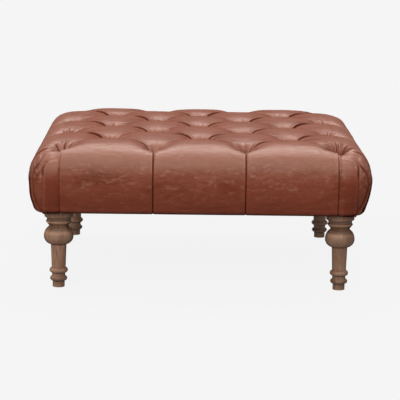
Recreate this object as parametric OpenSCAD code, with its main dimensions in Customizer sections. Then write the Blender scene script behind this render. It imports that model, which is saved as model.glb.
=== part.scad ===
// Square footstool with a deep-buttoned leather seat on four turned legs.
// The origin is on the floor under the middle of the seat, with the front facing -Y.

/* [Seat] */
// Width of the seat over the fullest part of its sides
seat_w = 1000; // [880:10:1200]
// Depth of the seat over the fullest part of its sides
seat_d = 1000; // [880:10:1200]
// Height of the seat from its underside to its crown
seat_h = 206; // [200:1:225]
// How far the outer buttons lie in from the fullest part of the sides
edge_roll = 102.5; // [98:0.5:112]
// How far the crests at the edge lie below the crown in the middle
crown = 5; // [0:0.5:10]
// Height above the underside at which the sides are fullest
belly_h = 106; // [98:1:115]
// How far the sides draw in below their fullest part
side_draw = 17; // [10:0.5:20]
// Radius of the turn where the sides go under the seat
edge_turn = 20; // [14:0.5:22]
// Fullness of the corners, where 2 is round and more is squarer
corner_share = 3; // [2.6:0.1:4]

/* [Buttons and pleats] */
// Depth of the buttons below the crown
tuft_depth = 55; // [45:1:57]
// Distance beyond a button's rim over which its pit regains about two thirds of its depth
pit_w = 16; // [12:1:24]
// Depth of a pleat between two buttons of the top
top_pleat = 7; // [2:0.5:12]
// Width of the swell on each side of a pleat of the top
pleat_w = 24; // [15:1:40]
// How far out over the edge roll the outer buttons draw their pleats down
roll_draw = 36; // [25:1:50]
// Depth of the pleats down the sides
side_pleat = 2; // [1:0.5:6]
// Width of the swell on each side of a pleat of the sides
side_pleat_w = 4; // [2:0.5:10]
// Place of the grid lines beside each pleat, as a share of half the button spacing
crease_share = 0.26; // [0.2:0.01:0.4]
// How far the leather between a corner's two pleats lies below the edge roll
corner_drop = 12; // [6:1:16]
// Diameter of a covered button
button_d = 22; // [18:1:24]
// Height of a button's coned back
button_back = 9; // [8.5:0.5:12]
// Height of a button's dome
button_dome = 5; // [3:0.5:7]
// Diameter of the button twine
twine_d = 2; // [1:0.5:3]
// Diameter of a twine toggle under the board
toggle_d = 16; // [12:1:20]
// Thickness of a twine toggle
toggle_t = 3; // [2:0.5:5]

/* [Legs] */
// Height of the legs with their glides, from the floor to the cloth under the seat
leg_h = 225; // [215:1:260]
// How far a leg's axis lies in from the fullest part of the sides
leg_inset = 92; // [88:0.5:96]
// Radius of the collar under the seat
collar_r = 41; // [36:0.5:42]
// Height of the collar with its cove
collar_h = 23; // [20:1:28]
// Radius at the bottom of the cove
cove_r = 34.5; // [32:0.5:35]
// Radius of the bead under the collar
bead_r = 37; // [36:0.5:39]
// Radius of the neck between the bead and the bulb
neck_r = 26; // [23:0.5:28]
// Radius of the bulb
bulb_r = 43; // [40:0.5:48]
// Height of the middle of the bulb
bulb_z = 151; // [148:1:153]
// Rise of the bulb above its middle
bulb_rise = 31.5; // [29:0.5:32]
// Drop of the bulb below its middle
bulb_drop = 24; // [20:0.5:28]
// Radius of the shaft at its top
shaft_top_r = 22.8; // [21:0.1:24]
// Radius of the shaft at its foot
shaft_foot_r = 20.3; // [19:0.1:20.8]
// Radius of the upper ring
ring_r = 26.8; // [24:0.2:29]
// Height of the middle of the upper ring
ring_z = 49.5; // [48:0.5:52]
// Half the height of the upper ring
ring_half = 8.7; // [7.5:0.1:9.2]
// Radius of the lower ring
low_ring_r = 25; // [23:0.2:27]
// Height of the middle of the lower ring
low_ring_z = 25; // [24:0.5:27]
// Half the height of the lower ring
low_ring_half = 8.3; // [7:0.1:9]
// Radius of the waist between the two rings
waist_r = 19.2; // [17.5:0.1:19.8]
// Radius at the top of the foot
foot_top_r = 17.6; // [16.5:0.1:18.5]
// Radius at the bottom of the foot
foot_r = 16.2; // [15:0.1:17]
// Rounding of the foot's lower edge
foot_round = 2; // [1:0.5:3]
// Diameter of a glide
glide_d = 24; // [18:1:28]
// Thickness of a glide
glide_t = 3; // [2:0.5:5]
// Diameter of a glide's nail
glide_nail_d = 3; // [2:0.5:4]
// Length of a glide's nail
glide_nail = 15; // [10:1:20]

/* [Frame] */
// How far the frame lies in from the fullest part of the sides
frame_inset = 55; // [53.5:0.5:58]
// Rounding of the frame's outer corners
frame_round = 30; // [24:1:34]
// Thickness of the four rails
rail_t = 22; // [19:0.5:24]
// Height of the four rails
rail_h = 90; // [84:1:92]
// Length of a corner block's sides
block_w = 110; // [95:1:130]
// Width of the clipped inner corner of a block
block_clip = 24; // [16:1:30]
// Height of a corner block
block_h = 40; // [34:1:46]
// Thickness of the cross rails
cross_t = 22; // [18:0.5:26]
// Height of the cross rails
cross_h = 60; // [50:1:70]
// Length of a cross rail's tenon
tenon = 10; // [8:0.5:14]
// Thickness of a tenon
tenon_t = 10; // [8:0.5:12]
// Height of a tenon
tenon_h = 36; // [30:1:40]
// Thickness of the deck board
deck_t = 12; // [9:0.5:15]
// Diameter of the twine holes in the board
twine_hole_d = 6; // [5:0.5:8]

/* [Foam and cloth] */
// Thickness of the foam slab
slab_t = 37.5; // [34:0.5:40]
// How far the slab stands out past the frame
slab_lap = 4.5; // [3:0.5:5]
// Diameter of the wells in the foam slab
well_d = 28; // [24:1:34]
// How far the side pads stand out past the frame at the belly
pad_t = 36; // [30:0.5:37]
// Thickness of the leather and wadding at the sides
wall_t = 14; // [12:0.5:15]
// Thickness of the leather turned under the frame
hem_t = 2; // [1.5:0.5:3]
// Width of the leather turned under the frame
hem_w = 24; // [18:1:25]
// Thickness of the dust cover
cloth_t = 1; // [0.5:0.5:1.5]
// How far the edge of the dust cover lies in from the frame's faces
cloth_inset = 8; // [5:1:14]

/* [Fasteners] */
// Diameter of a hanger bolt
bolt_d = 8; // [6:1:8]
// How deep a hanger bolt goes into its leg
bolt_in_leg = 55; // [40:1:60]
// How far a hanger bolt stands out of its tee nut
bolt_tip = 8; // [3:1:12]
// Diameter of a tee nut's flange
nut_flange_d = 22; // [18:1:24]
// Thickness of a tee nut's flange
nut_flange_t = 1.5; // [1:0.5:2]
// Wall of a tee nut's barrel
nut_wall = 1.5; // [1:0.5:2]
// Length of a tee nut's barrel
nut_barrel = 14; // [10:1:20]
// Diameter of a rail dowel
dowel_d = 8; // [6:0.5:8]
// Depth of a dowel in the front and back rails
dowel_in_front = 10; // [8:0.5:12]
// Depth of a dowel in the left and right rails
dowel_in_side = 28; // [20:1:36]
// Height between the two dowels of a joint
dowel_gap = 44; // [36:1:50]
// Diameter of a deck screw
screw_d = 4; // [3:0.5:5]
// Diameter of a deck screw's head
screw_head_d = 8; // [7.5:0.5:9]
// Length of a deck screw
screw_len = 38; // [30:1:45]

/* [Hidden] */
$fn = 72;

// Clearance between two pieces that don't press on each other
gap = 0.3;
// Clearance round a fastener in its hole
bore_gap = 0.15;
// Overrun of every cut
over = 1;

// Rows of buttons are half a spacing apart, and so are the columns.
HALVES = 6;
// Grid lines in each half spacing
LINES = 3;
// Points between the two pleats of a corner
CORNER_STEPS = 4;
// Points along one side of a ring, with those of the corner after it
SIDE_POINTS = HALVES * LINES + CORNER_STEPS;

field_x = seat_w / 2 - edge_roll;
field_y = seat_d / 2 - edge_roll;
half_x = field_x * 2 / HALVES;
half_y = field_y * 2 / HALVES;
seat_base = leg_h + cloth_t;
seat_top = leg_h + seat_h;
belly_z = leg_h + belly_h;
edge_top = seat_top - crown;
button_z = seat_top - tuft_depth;
frame_z = seat_base + hem_t;
frame_top = frame_z + rail_h;
deck_top = frame_top + deck_t;
cavity_top = deck_top + slab_t + gap;
// Distances out from the square of the outer buttons
frame_out = edge_roll - frame_inset;
slab_out = frame_out + slab_lap;
cavity_out = edge_roll - wall_t;
frame_x = field_x + frame_out;
frame_y = field_y + frame_out;
leg_x = seat_w / 2 - leg_inset;
leg_y = seat_d / 2 - leg_inset;

leather = [0.56, 0.29, 0.22];
oak = [0.42, 0.34, 0.29];
beech = [0.80, 0.66, 0.47];
plywood = [0.84, 0.72, 0.52];
foam = [0.92, 0.87, 0.68];
steel = [0.66, 0.67, 0.69];
black = [0.10, 0.10, 0.11];
linen = [0.86, 0.82, 0.72];

// Half spacings from the middle to grid line n of a side
function line_at(n) =
    floor(n / LINES) + [0, crease_share, 1 - crease_share][n % LINES] - HALVES / 2;

// How far a pit has sunk at a distance from its button, from 1 at the button to 0
function pit(r) = exp(-max(r - button_d / 2, 0) / pit_w);

// Half spacings from a value to the nearest even number
function past_even(value) = value - 2 * round(value / 2);

// How far a point of the top has sunk, from 0 on a crest to 1 at a button. Its nearest button
// and its nearest pleats are found along the two directions in which the pleats run.
function sink(i, j) =
    let (u = past_even(i + j), v = past_even(i - j), across = norm([half_x, half_y]) / 2)
    let (r = norm([(u + v) / 2 * half_x, (u - v) / 2 * half_y]))
    let (nearest = min(abs(u), abs(v)) * across)
    let (pleat = top_pleat / tuft_depth * exp(-pow(nearest / pleat_w, 2)))
    1 - (1 - pit(r)) * (1 - pleat);

// Height of the crests over a point of the top, from the crown down to the edge
function crest(i, j) =
    let (reach = max(abs(i), abs(j)) * 2 / HALVES)
    seat_top - crown * pow(reach, 3);

function top_point(i, j) =
    [i * half_x, j * half_y, crest(i, j) - (crest(i, j) - button_z) * sink(i, j)];

// A ring round the seat is [distance out, height, tilt of the surface, depth of its pleats]. The
// rings go over the edge roll, down the side and under it.
ROLL_ANGLES = [22, 44, 67, 90];
turn_z = seat_base + edge_turn;
turn_out = edge_roll - side_draw;
ROLL_FALL_SHARE = 4 / 3;
function roll_pleat(out) = side_pleat
    + (tuft_depth - crown - side_pleat) * exp(-pow(out / roll_draw, ROLL_FALL_SHARE));
function roll_ring(a) =
    let (out = edge_roll * sin(a))
    [out, belly_z + (edge_top - belly_z) * cos(a), 90 - a, roll_pleat(out)];
function side_ring(share) =
    [edge_roll - side_draw * pow(share, 2), belly_z - (belly_z - turn_z) * share, 0, side_pleat];
function turn_ring(a) =
    [turn_out - edge_turn * (1 - cos(a)), turn_z - edge_turn * sin(a), -a, side_pleat * cos(a)];
OUTER_RINGS = concat([for (a = ROLL_ANGLES) roll_ring(a)],
    [side_ring(0.5), side_ring(1), turn_ring(45), turn_ring(90)]);
inner_foot = frame_out + (turn_out - edge_turn - frame_out) / 3;
INNER_RINGS = [[frame_out - hem_w, seat_base], [frame_out - hem_w, frame_z],
    [inner_foot, frame_z], [cavity_out, belly_z], [slab_out + 2 * slab_lap, cavity_top]];

// How far a corner reaches out at an angle, against a round one
function fullness(a) =
    pow(pow(cos(a), corner_share) + pow(sin(a), corner_share), -1 / corner_share);

// Point n of side k, in the plan view, a distance out from the square of the outer buttons.
// The sides go front, right, back, left, and past HALVES * LINES come those of the corner.
function plan_point(k, n, out) =
    let (last = HALVES * LINES, a = (n - last) * 90 / CORNER_STEPS)
    let (at = n <= last ? line_at(n) : 0, hug = out * (n <= last ? 1 : fullness(a)))
    let (fx = field_x, fy = field_y)
    n <= last
    ? [[at * half_x, -fy - out], [fx + out, at * half_y],
       [-at * half_x, fy + out], [-fx - out, -at * half_y]][k]
    : [[fx + hug * sin(a), -fy - hug * cos(a)], [fx + hug * cos(a), fy + hug * sin(a)],
       [-fx - hug * sin(a), fy + hug * cos(a)], [-fx - hug * cos(a), -fy - hug * sin(a)]][k];

// Distance along a side from grid line n to the nearest pleat
function to_pleat(n) = abs(past_even(line_at(n) - HALVES / 2)) * (half_x + half_y) / 2;

// How far a point of a ring has sunk, into its pleat or at a corner
function ring_sink(n, ring) =
    n > HALVES * LINES ? corner_drop * max(sin(ring[2]), 0) * (1 - pit(ring[0]))
    : ring[3] * exp(-to_pleat(n) / (pit_w * (1 - ring[0] / edge_roll) + side_pleat_w));

function ring_point(k, n, ring) =
    let (depth = ring_sink(n, ring))
    concat(plan_point(k, n, ring[0] - depth * cos(ring[2])), ring[1] - depth * sin(ring[2]));

// The leather cover with its wadding: a grid of points over the top, rings of points down the
// sides, and a few points a ring for the plain inside and the leather turned under the frame.
// Each button sits in a round socket of its own.
GRID = HALVES * LINES + 1;
RING = 4 * SIDE_POINTS;
COARSE = [for (k = [0 : 3]) each [for (n = [0 : LINES * 2 : HALVES * LINES]) [k, n],
    for (n = [1 : CORNER_STEPS - 1]) [k, HALVES * LINES + n]]];

function grid_index(i, j) = j * GRID + i;
function edge_index(k, n) =
    let (last = GRID - 1, m = min(n, last))
    [grid_index(m, 0), grid_index(last, m), grid_index(last - m, last), grid_index(0, last - m)][k];
function ring_index(r, p) =
    r == 0 ? edge_index(floor((p % RING) / SIDE_POINTS), p % SIDE_POINTS)
    : GRID * GRID + (r - 1) * RING + p % RING;
function coarse_index(r, p) =
    GRID * GRID + len(OUTER_RINGS) * RING + r * len(COARSE) + p % len(COARSE);

// Each square of the grid is split along the pleats' direction.
function grid_faces(i, j) =
    let (a = grid_index(i, j), b = grid_index(i + 1, j))
    let (c = grid_index(i + 1, j + 1), d = grid_index(i, j + 1))
    let (falls = (floor(i / LINES) + floor(j / LINES)) % 2 == 0)
    falls ? [[a, c, b], [a, d, c]] : [[a, d, b], [b, d, c]];
// The squares of a band are split alike on both sides of a pleat and of a corner.
function towards_pleat(n) =
    n < HALVES * LINES ? floor(n / LINES) % 2 == 1 : n - HALVES * LINES >= CORNER_STEPS / 2;
function band_faces(r, p) =
    let (a = ring_index(r, p), b = ring_index(r, p + 1))
    let (c = ring_index(r + 1, p + 1), d = ring_index(r + 1, p))
    a == b ? [[a, c, d]]
    : towards_pleat(p % SIDE_POINTS) ? [[a, b, d], [b, c, d]] : [[a, b, c], [a, c, d]];
// The flat underside joins every point of the last outer ring to the few of the inside: a fan
// from each of two inside points, and one triangle between the fans.
function hem_faces(m) =
    let (last = len(OUTER_RINGS), from = COARSE[m], to = COARSE[(m + 1) % len(COARSE)])
    let (start = from[0] * SIDE_POINTS + from[1])
    let (steps = (to[0] * SIDE_POINTS + to[1] - start + RING) % RING)
    let (middle = floor(steps / 2), a = coarse_index(0, m), b = coarse_index(0, m + 1))
    concat([for (s = [0 : steps - 1])
            [ring_index(last, start + s), ring_index(last, start + s + 1), s < middle ? a : b]],
        [[ring_index(last, start + middle), b, a]]);
function inside_faces(r, m) =
    let (a = coarse_index(r, m), b = coarse_index(r, m + 1))
    let (c = coarse_index(r + 1, m + 1), d = coarse_index(r + 1, m))
    [[a, b, c], [a, c, d]];

module leather_cover() {
    last = len(INNER_RINGS) - 1;
    points = concat(
        [for (j = [0 : GRID - 1], i = [0 : GRID - 1]) top_point(line_at(i), line_at(j))],
        [for (ring = OUTER_RINGS, k = [0 : 3], n = [0 : SIDE_POINTS - 1])
            ring_point(k, n, ring)],
        [for (ring = INNER_RINGS, c = COARSE)
            concat(plan_point(c[0], c[1], ring[0]), ring[1])],
        [[0, 0, cavity_top]]);
    middle = len(points) - 1;
    faces = concat(
        [for (j = [0 : GRID - 2], i = [0 : GRID - 2]) each grid_faces(i, j)],
        [for (r = [0 : len(OUTER_RINGS) - 1], p = [0 : RING - 1]) each band_faces(r, p)],
        [for (m = [0 : len(COARSE) - 1]) each hem_faces(m)],
        [for (r = [0 : last - 1], m = [0 : len(COARSE) - 1]) each inside_faces(r, m)],
        [for (m = [0 : len(COARSE) - 1])
            [coarse_index(last, m), coarse_index(last, m + 1), middle]]);
    color(leather) difference() {
        polyhedron(points, faces);
        at_buttons() translate([0, 0, button_z])
            cylinder(d = button_d + 2 * gap, h = tuft_depth);
    }
}

// Children at every button
module at_buttons() {
    for (i = [-HALVES / 2 : HALVES / 2], j = [-HALVES / 2 : HALVES / 2])
        if ((i + j) % 2 == 0)
            translate([i * half_x, j * half_y]) children();
}

module buttons() {
    r = button_d / 2;
    rim = button_back;
    dome = [for (a = [0 : 15 : 90]) [r * cos(a), rim + button_dome * sin(a)]];
    color(leather) at_buttons() translate([0, 0, button_z + gap])
        rotate_extrude() polygon(concat([[0, 0]], dome));
}

module button_twines() {
    foot = frame_top - toggle_t;
    color(linen) at_buttons() translate([0, 0, foot])
        cylinder(d = twine_d, h = cavity_top - gap - foot);
}

module twine_toggles() {
    color(black) at_buttons() translate([0, 0, frame_top - toggle_t]) difference() {
        cylinder(d = toggle_d, h = toggle_t);
        translate([0, 0, -over])
            cylinder(d = twine_d + 2 * bore_gap, h = toggle_t + 2 * over);
    }
}

// A square outline with round corners, a distance out from the square of the outer buttons
module rounded_outline(out, r) {
    x = field_x + out;
    y = field_y + out;
    square([2 * x, 2 * (y - r)], center = true);
    square([2 * (x - r), 2 * y], center = true);
    for (sx = [-1, 1], sy = [-1, 1])
        translate([sx * (x - r), sy * (y - r)]) circle(r);
}

module foam_slab() {
    t = slab_t - gap;
    color(foam) translate([0, 0, deck_top + gap]) difference() {
        linear_extrude(t) rounded_outline(slab_out, slab_out);
        at_buttons() translate([0, 0, -over]) cylinder(d = well_d, h = t + 2 * over);
    }
}

// Section of the foam round the frame, from its inner face out. Its outer face leans out from
// the lip at the foot, and an inner face beyond the lip starts higher up that slope.
module pad_section(inner) {
    foot = frame_z + gap;
    lip = inner_foot - 2 * gap;
    slope = (belly_z - foot) / (frame_out + pad_t - lip);
    polygon(concat(
        inner < lip ? [[inner, foot], [lip, foot]] : [[inner, foot + (inner - lip) * slope]],
        [[frame_out + pad_t, belly_z], [slab_out + slab_lap, cavity_top - slab_lap],
         [slab_out + gap, cavity_top - slab_lap], [slab_out + gap, deck_top], [inner, deck_top]]));
}

// A straight pad along one side, of a given length, at a distance from the middle
module side_pad(reach, length) {
    color(foam) translate([0, length / 2, 0]) rotate([90, 0, 0]) linear_extrude(length)
        translate([reach, 0]) pad_section(frame_out + gap);
}
module side_pad_front() rotate(-90) side_pad(field_y, 2 * field_x);
module side_pad_back() rotate(90) side_pad(field_y, 2 * field_x);
module side_pad_left() rotate(180) side_pad(field_x, 2 * field_y);
module side_pad_right() side_pad(field_x, 2 * field_y);

// A quarter ring of foam at a corner, outside the rounded corner of the frame
module corner_pad(sx, sy) {
    frame_corner = frame_round + (frame_out - frame_round) * sqrt(2);
    turn = sx > 0 ? (sy > 0 ? 0 : -90) : (sy > 0 ? 90 : 180);
    margin = asin(gap / frame_out);
    color(foam) translate([sx * field_x, sy * field_y]) rotate(turn + margin)
        rotate_extrude(angle = 90 - 2 * margin) pad_section(frame_corner + gap);
}

module frame_blank(z, h) {
    translate([0, 0, z]) linear_extrude(h) rounded_outline(frame_out, frame_round);
}

SCREW_SHARES = [-0.7, -0.25, 0.25, 0.7];
module at_deck_screws() {
    x = frame_x - rail_t / 2;
    y = frame_y - rail_t / 2;
    for (share = SCREW_SHARES, side = [-1, 1]) {
        translate([share * frame_x, side * y]) children();
        translate([side * x, share * frame_y]) children();
    }
}

// A countersunk screw whose head is flush with z = 0, or its hole when there is play
module deck_screw(play = 0) {
    head_h = (screw_head_d - screw_d) / 2;
    tip_h = screw_d / 2;
    translate([0, 0, -head_h]) cylinder(d1 = screw_d + 2 * play, d2 = screw_head_d + 2 * play,
        h = head_h);
    translate([0, 0, tip_h - screw_len])
        cylinder(d = screw_d + 2 * play, h = screw_len - tip_h - head_h);
    translate([0, 0, -screw_len - play])
        cylinder(d1 = play, d2 = screw_d + 2 * play, h = tip_h + play);
}
module deck_screw_holes() {
    at_deck_screws() translate([0, 0, deck_top]) deck_screw(bore_gap);
}
module deck_screws() {
    color(steel) at_deck_screws() translate([0, 0, deck_top]) deck_screw();
}

module deck_board() {
    color(plywood) difference() {
        frame_blank(frame_top, deck_t);
        at_buttons() translate([0, 0, frame_top - over])
            cylinder(d = twine_hole_d, h = deck_t + 2 * over);
        deck_screw_holes();
    }
}

// Dowels run front to back at the ends of the left and right rails.
dowel_x = frame_x - rail_t / 2;
module at_dowels() {
    for (sx = [-1, 1], sy = [-1, 1], s = [-1, 1])
        translate([sx * dowel_x, sy * (frame_y - rail_t), frame_z + (rail_h + s * dowel_gap) / 2])
            rotate([-90 * sy, 0, 0]) children();
}
module rail_dowel(play = 0) {
    translate([0, 0, -dowel_in_side - play])
        cylinder(d = dowel_d + 2 * play, h = dowel_in_side + dowel_in_front + 2 * play);
}
module rail_dowels() {
    color(beech) at_dowels() rail_dowel();
}

// Cross rails stand midway between two columns of buttons.
cross_x = half_x * 1.5;
module cross_tenon(play = 0) {
    reach = frame_y - rail_t + tenon + play;
    translate([-tenon_t / 2 - play, -reach, frame_top - cross_h / 2 - tenon_h / 2 - play])
        cube([tenon_t + 2 * play, 2 * reach, tenon_h + 2 * play]);
}
module cross_rail(side) {
    y = frame_y - rail_t;
    color(beech) translate([side * cross_x, 0, 0]) {
        translate([-cross_t / 2, -y, frame_top - cross_h]) cube([cross_t, 2 * y, cross_h]);
        cross_tenon();
    }
}

// The front rail is cut from the rounded blank, and the back rail mirrors it.
module long_rail() {
    x = frame_x + over;
    difference() {
        intersection() {
            frame_blank(frame_z, rail_h);
            translate([-x, -frame_y - over, frame_z]) cube([2 * x, rail_t + over, rail_h]);
        }
        at_dowels() rail_dowel(bore_gap);
        for (side = [-1, 1]) translate([side * cross_x, 0, 0]) cross_tenon(bore_gap);
        deck_screw_holes();
    }
}
module front_rail() color(beech) long_rail();
module back_rail() color(beech) mirror([0, 1, 0]) long_rail();
module short_rail() {
    y = frame_y - rail_t;
    difference() {
        intersection() {
            frame_blank(frame_z, rail_h);
            translate([frame_x - rail_t, -y, frame_z]) cube([rail_t + over, 2 * y, rail_h]);
        }
        at_dowels() rail_dowel(bore_gap);
        deck_screw_holes();
    }
}
module right_rail() color(beech) short_rail();
module left_rail() color(beech) mirror([1, 0, 0]) short_rail();

nut_barrel_d = bolt_d + 2 * bore_gap + 2 * nut_wall;
block_top = frame_z + block_h;
module corner_block(sx, sy) {
    x = frame_x - rail_t;
    y = frame_y - rail_t;
    color(beech) difference() {
        translate([sx * x, sy * y, frame_z]) linear_extrude(block_h)
            polygon([[0, 0], [-sx * block_w, 0], [-sx * block_w, -sy * block_clip],
                [-sx * block_clip, -sy * block_w], [0, -sy * block_w]]);
        translate([sx * leg_x, sy * leg_y, 0]) {
            translate([0, 0, frame_z - over])
                cylinder(d = bolt_d + 2 * bore_gap, h = block_h + 2 * over);
            translate([0, 0, block_top - nut_barrel - bore_gap])
                cylinder(d = nut_barrel_d + 2 * bore_gap, h = nut_barrel + over);
        }
    }
}

module at_legs() {
    for (sx = [-1, 1], sy = [-1, 1]) translate([sx * leg_x, sy * leg_y]) children();
}
module tee_nuts() {
    color(steel) at_legs() translate([0, 0, block_top]) difference() {
        union() {
            cylinder(d = nut_flange_d, h = nut_flange_t);
            translate([0, 0, -nut_barrel]) cylinder(d = nut_barrel_d, h = nut_barrel);
        }
        translate([0, 0, -nut_barrel - over]) cylinder(d = bolt_d + 2 * bore_gap,
            h = nut_barrel + nut_flange_t + 2 * over);
    }
}
bolt_foot = leg_h - bolt_in_leg;
module hanger_bolts() {
    tip = bolt_d / 2;
    color(steel) at_legs() translate([0, 0, bolt_foot]) {
        cylinder(d1 = 0, d2 = bolt_d, h = tip);
        translate([0, 0, tip])
            cylinder(d = bolt_d, h = block_top + nut_flange_t + bolt_tip - bolt_foot - tip);
    }
}

// Points of an elliptical arc in a turned profile, seen with the radius across and height up
function arc(centre, radii, from, to, steps) =
    [for (s = [0 : steps])
        let (a = from + (to - from) * s / steps)
        [centre[0] + radii[0] * cos(a), centre[1] + radii[1] * sin(a)]];

// The angle at which an arc of radii about a centre meets a given radius
function meets(centre_r, arc_r, r) = acos((r - centre_r) / arc_r);

// The leg is turned from the foot up: foot, two rings with a waist between them, tapered
// shaft, bulb, neck, bead, and a collar on a cove.
BULB_CORE_SHARE = 0.46;
BEAD_CORE_SHARE = 0.63;
module leg_profile() {
    bulb_core = bulb_r * BULB_CORE_SHARE;
    bead_core = bead_r * BEAD_CORE_SHARE;
    bead_round = bead_r - bead_core;
    bead_z = leg_h - collar_h - bead_round / 2;
    cove_round = collar_r - cove_r;
    cove_z = leg_h - collar_h + cove_round;
    low_core = low_ring_r - low_ring_half;
    ring_core = ring_r - ring_half;
    bulb = bulb_r - bulb_core;
    polygon(concat(
        [[0, glide_t]],
        arc([foot_r - foot_round, glide_t + foot_round], [foot_round, foot_round], -90, 0, 3),
        [[foot_top_r, low_ring_z - low_ring_half]],
        arc([low_core, low_ring_z], [low_ring_half, low_ring_half],
            -meets(low_core, low_ring_half, foot_top_r), meets(low_core, low_ring_half, waist_r), 10),
        arc([ring_core, ring_z], [ring_half, ring_half],
            -meets(ring_core, ring_half, waist_r), meets(ring_core, ring_half, shaft_foot_r), 10),
        arc([bulb_core, bulb_z], [bulb, bulb_drop], -meets(bulb_core, bulb, shaft_top_r), 0, 8),
        arc([bulb_core, bulb_z], [bulb, bulb_rise], 0, meets(bulb_core, bulb, neck_r), 10),
        arc([bead_core, bead_z], [bead_round, bead_round],
            -meets(bead_core, bead_round, neck_r), meets(bead_core, bead_round, cove_r), 10),
        arc([collar_r, leg_h - collar_h], [cove_round, cove_round * 1.5], 180, 90, 6),
        [[collar_r, leg_h], [0, leg_h]]));
}

module leg() {
    color(oak) difference() {
        rotate_extrude() leg_profile();
        translate([0, 0, bolt_foot - bore_gap])
            cylinder(d = bolt_d + 2 * bore_gap, h = bolt_in_leg + bore_gap + over);
        translate([0, 0, -over])
            cylinder(d = glide_nail_d + 2 * bore_gap, h = glide_t + glide_nail + over + bore_gap);
    }
}
module foot_glides() {
    color(black) at_legs() {
        cylinder(d = glide_d, h = glide_t);
        cylinder(d = glide_nail_d, h = glide_t + glide_nail);
    }
}

module dust_cover() {
    out = frame_out - cloth_inset;
    color(black) difference() {
        translate([0, 0, leg_h]) linear_extrude(cloth_t) rounded_outline(out, out);
        at_legs() translate([0, 0, leg_h - over])
            cylinder(d = bolt_d + 2 * bore_gap, h = cloth_t + 2 * over);
    }
}

leather_cover();
buttons();
button_twines();
twine_toggles();
foam_slab();
side_pad_front();
side_pad_back();
side_pad_left();
side_pad_right();
corner_pad(-1, -1);  // corner_pad_front_left
corner_pad(1, -1);  // corner_pad_front_right
corner_pad(-1, 1);  // corner_pad_back_left
corner_pad(1, 1);  // corner_pad_back_right
deck_board();
deck_screws();
front_rail();
back_rail();
left_rail();
right_rail();
rail_dowels();
cross_rail(-1);  // cross_rail_left
cross_rail(1);  // cross_rail_right
corner_block(-1, -1);  // corner_block_front_left
corner_block(1, -1);  // corner_block_front_right
corner_block(-1, 1);  // corner_block_back_left
corner_block(1, 1);  // corner_block_back_right
tee_nuts();
hanger_bolts();
translate([-leg_x, -leg_y]) leg();  // leg_front_left
translate([leg_x, -leg_y]) leg();  // leg_front_right
translate([-leg_x, leg_y]) leg();  // leg_back_left
translate([leg_x, leg_y]) leg();  // leg_back_right
foot_glides();
dust_cover();
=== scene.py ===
# %% [markdown]
# # A deep-buttoned leather footstool
# A large square footstool: a thick padded seat in worn red-brown leather, buttoned in diamonds,
# on four turned wooden legs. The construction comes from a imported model. This lesson adds what
# the eye sees: the drawn leather with its pleats and puckers, the turned and stained legs, the
# cloth and staples underneath, and a finish for every hidden piece.

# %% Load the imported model
import math
import random

import bmesh
import bpy
import numpy as np
from mathutils import Euler, Matrix, Quaternion, Vector, noise


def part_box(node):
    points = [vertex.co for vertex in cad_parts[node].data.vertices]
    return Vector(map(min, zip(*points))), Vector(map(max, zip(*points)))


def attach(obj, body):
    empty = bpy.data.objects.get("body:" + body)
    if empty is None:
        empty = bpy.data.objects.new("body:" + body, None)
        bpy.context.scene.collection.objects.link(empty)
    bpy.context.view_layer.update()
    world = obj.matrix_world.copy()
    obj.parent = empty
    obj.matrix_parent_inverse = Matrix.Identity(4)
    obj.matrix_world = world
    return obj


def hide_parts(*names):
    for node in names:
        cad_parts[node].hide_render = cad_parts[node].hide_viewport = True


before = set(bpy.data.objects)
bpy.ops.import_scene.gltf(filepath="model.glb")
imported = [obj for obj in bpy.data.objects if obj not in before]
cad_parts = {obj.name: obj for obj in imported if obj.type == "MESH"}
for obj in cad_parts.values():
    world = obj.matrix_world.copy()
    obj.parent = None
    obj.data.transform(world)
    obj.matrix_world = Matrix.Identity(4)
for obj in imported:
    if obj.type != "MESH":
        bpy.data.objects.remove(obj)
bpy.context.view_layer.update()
scene = bpy.context.scene
print("nodes in the frame:", len(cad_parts))

# %% [markdown]
# ## The sizes that everything follows
# An upholsterer sets out the board first: where the outer buttons are, how far the padding
# rolls out past them, and how deep the buttons are pulled. The places come from the frame, so
# the looks can't drift from the construction. What the frame doesn't say is a named size here.

# %% Sizes from the frame, and the upholsterer's own
MM = 0.001
cover_low, cover_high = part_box("leather_cover")
button_low, button_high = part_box("buttons")
BUTTON_D = 22 * MM
FIELD = button_high.x - BUTTON_D / 2
HALVES = 6
STEP = 2 * FIELD / HALVES
EDGE_ROLL = cover_high.x - FIELD
TUFT_DEPTH = 55 * MM
CROWN = 5 * MM
BUTTON_Z = button_low.z - 0.3 * MM
SEAT_TOP = BUTTON_Z + TUFT_DEPTH
EDGE_TOP = SEAT_TOP - CROWN
SEAT_BASE = cover_low.z
BELLY_Z = SEAT_BASE + 105 * MM
SIDE_DRAW = 17 * MM
EDGE_TURN = 20 * MM
CORNER_DROP = 12 * MM
CORNER_FULLNESS = 2.8
HEM_IN = 24 * MM
FRAME_OUT = 47.5 * MM
print("seat", round(2 * cover_high.x, 3), "m across, buttons", round(STEP, 4), "m apart each way")

# %% [markdown]
# ## Camera, floor and light
# The photograph was taken from far off with a long lens, a little above the seat. The angles
# and the lens were solved from the places of the four legs. The floor is a plain pale sheet.
# It glows a little for the camera and for reflections, so that it reads as white without any
# extra light on the leather, and it still takes the shadow of the legs.

# %% Camera
CAMERA_AT = Vector((-0.0503, -5.842, 1.187))
CAMERA_YAW = 0.536
CAMERA_PITCH = 9.678
CAMERA_ROLL = 0.752
CAMERA_LENS = 171.45
SENSOR = 36


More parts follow.
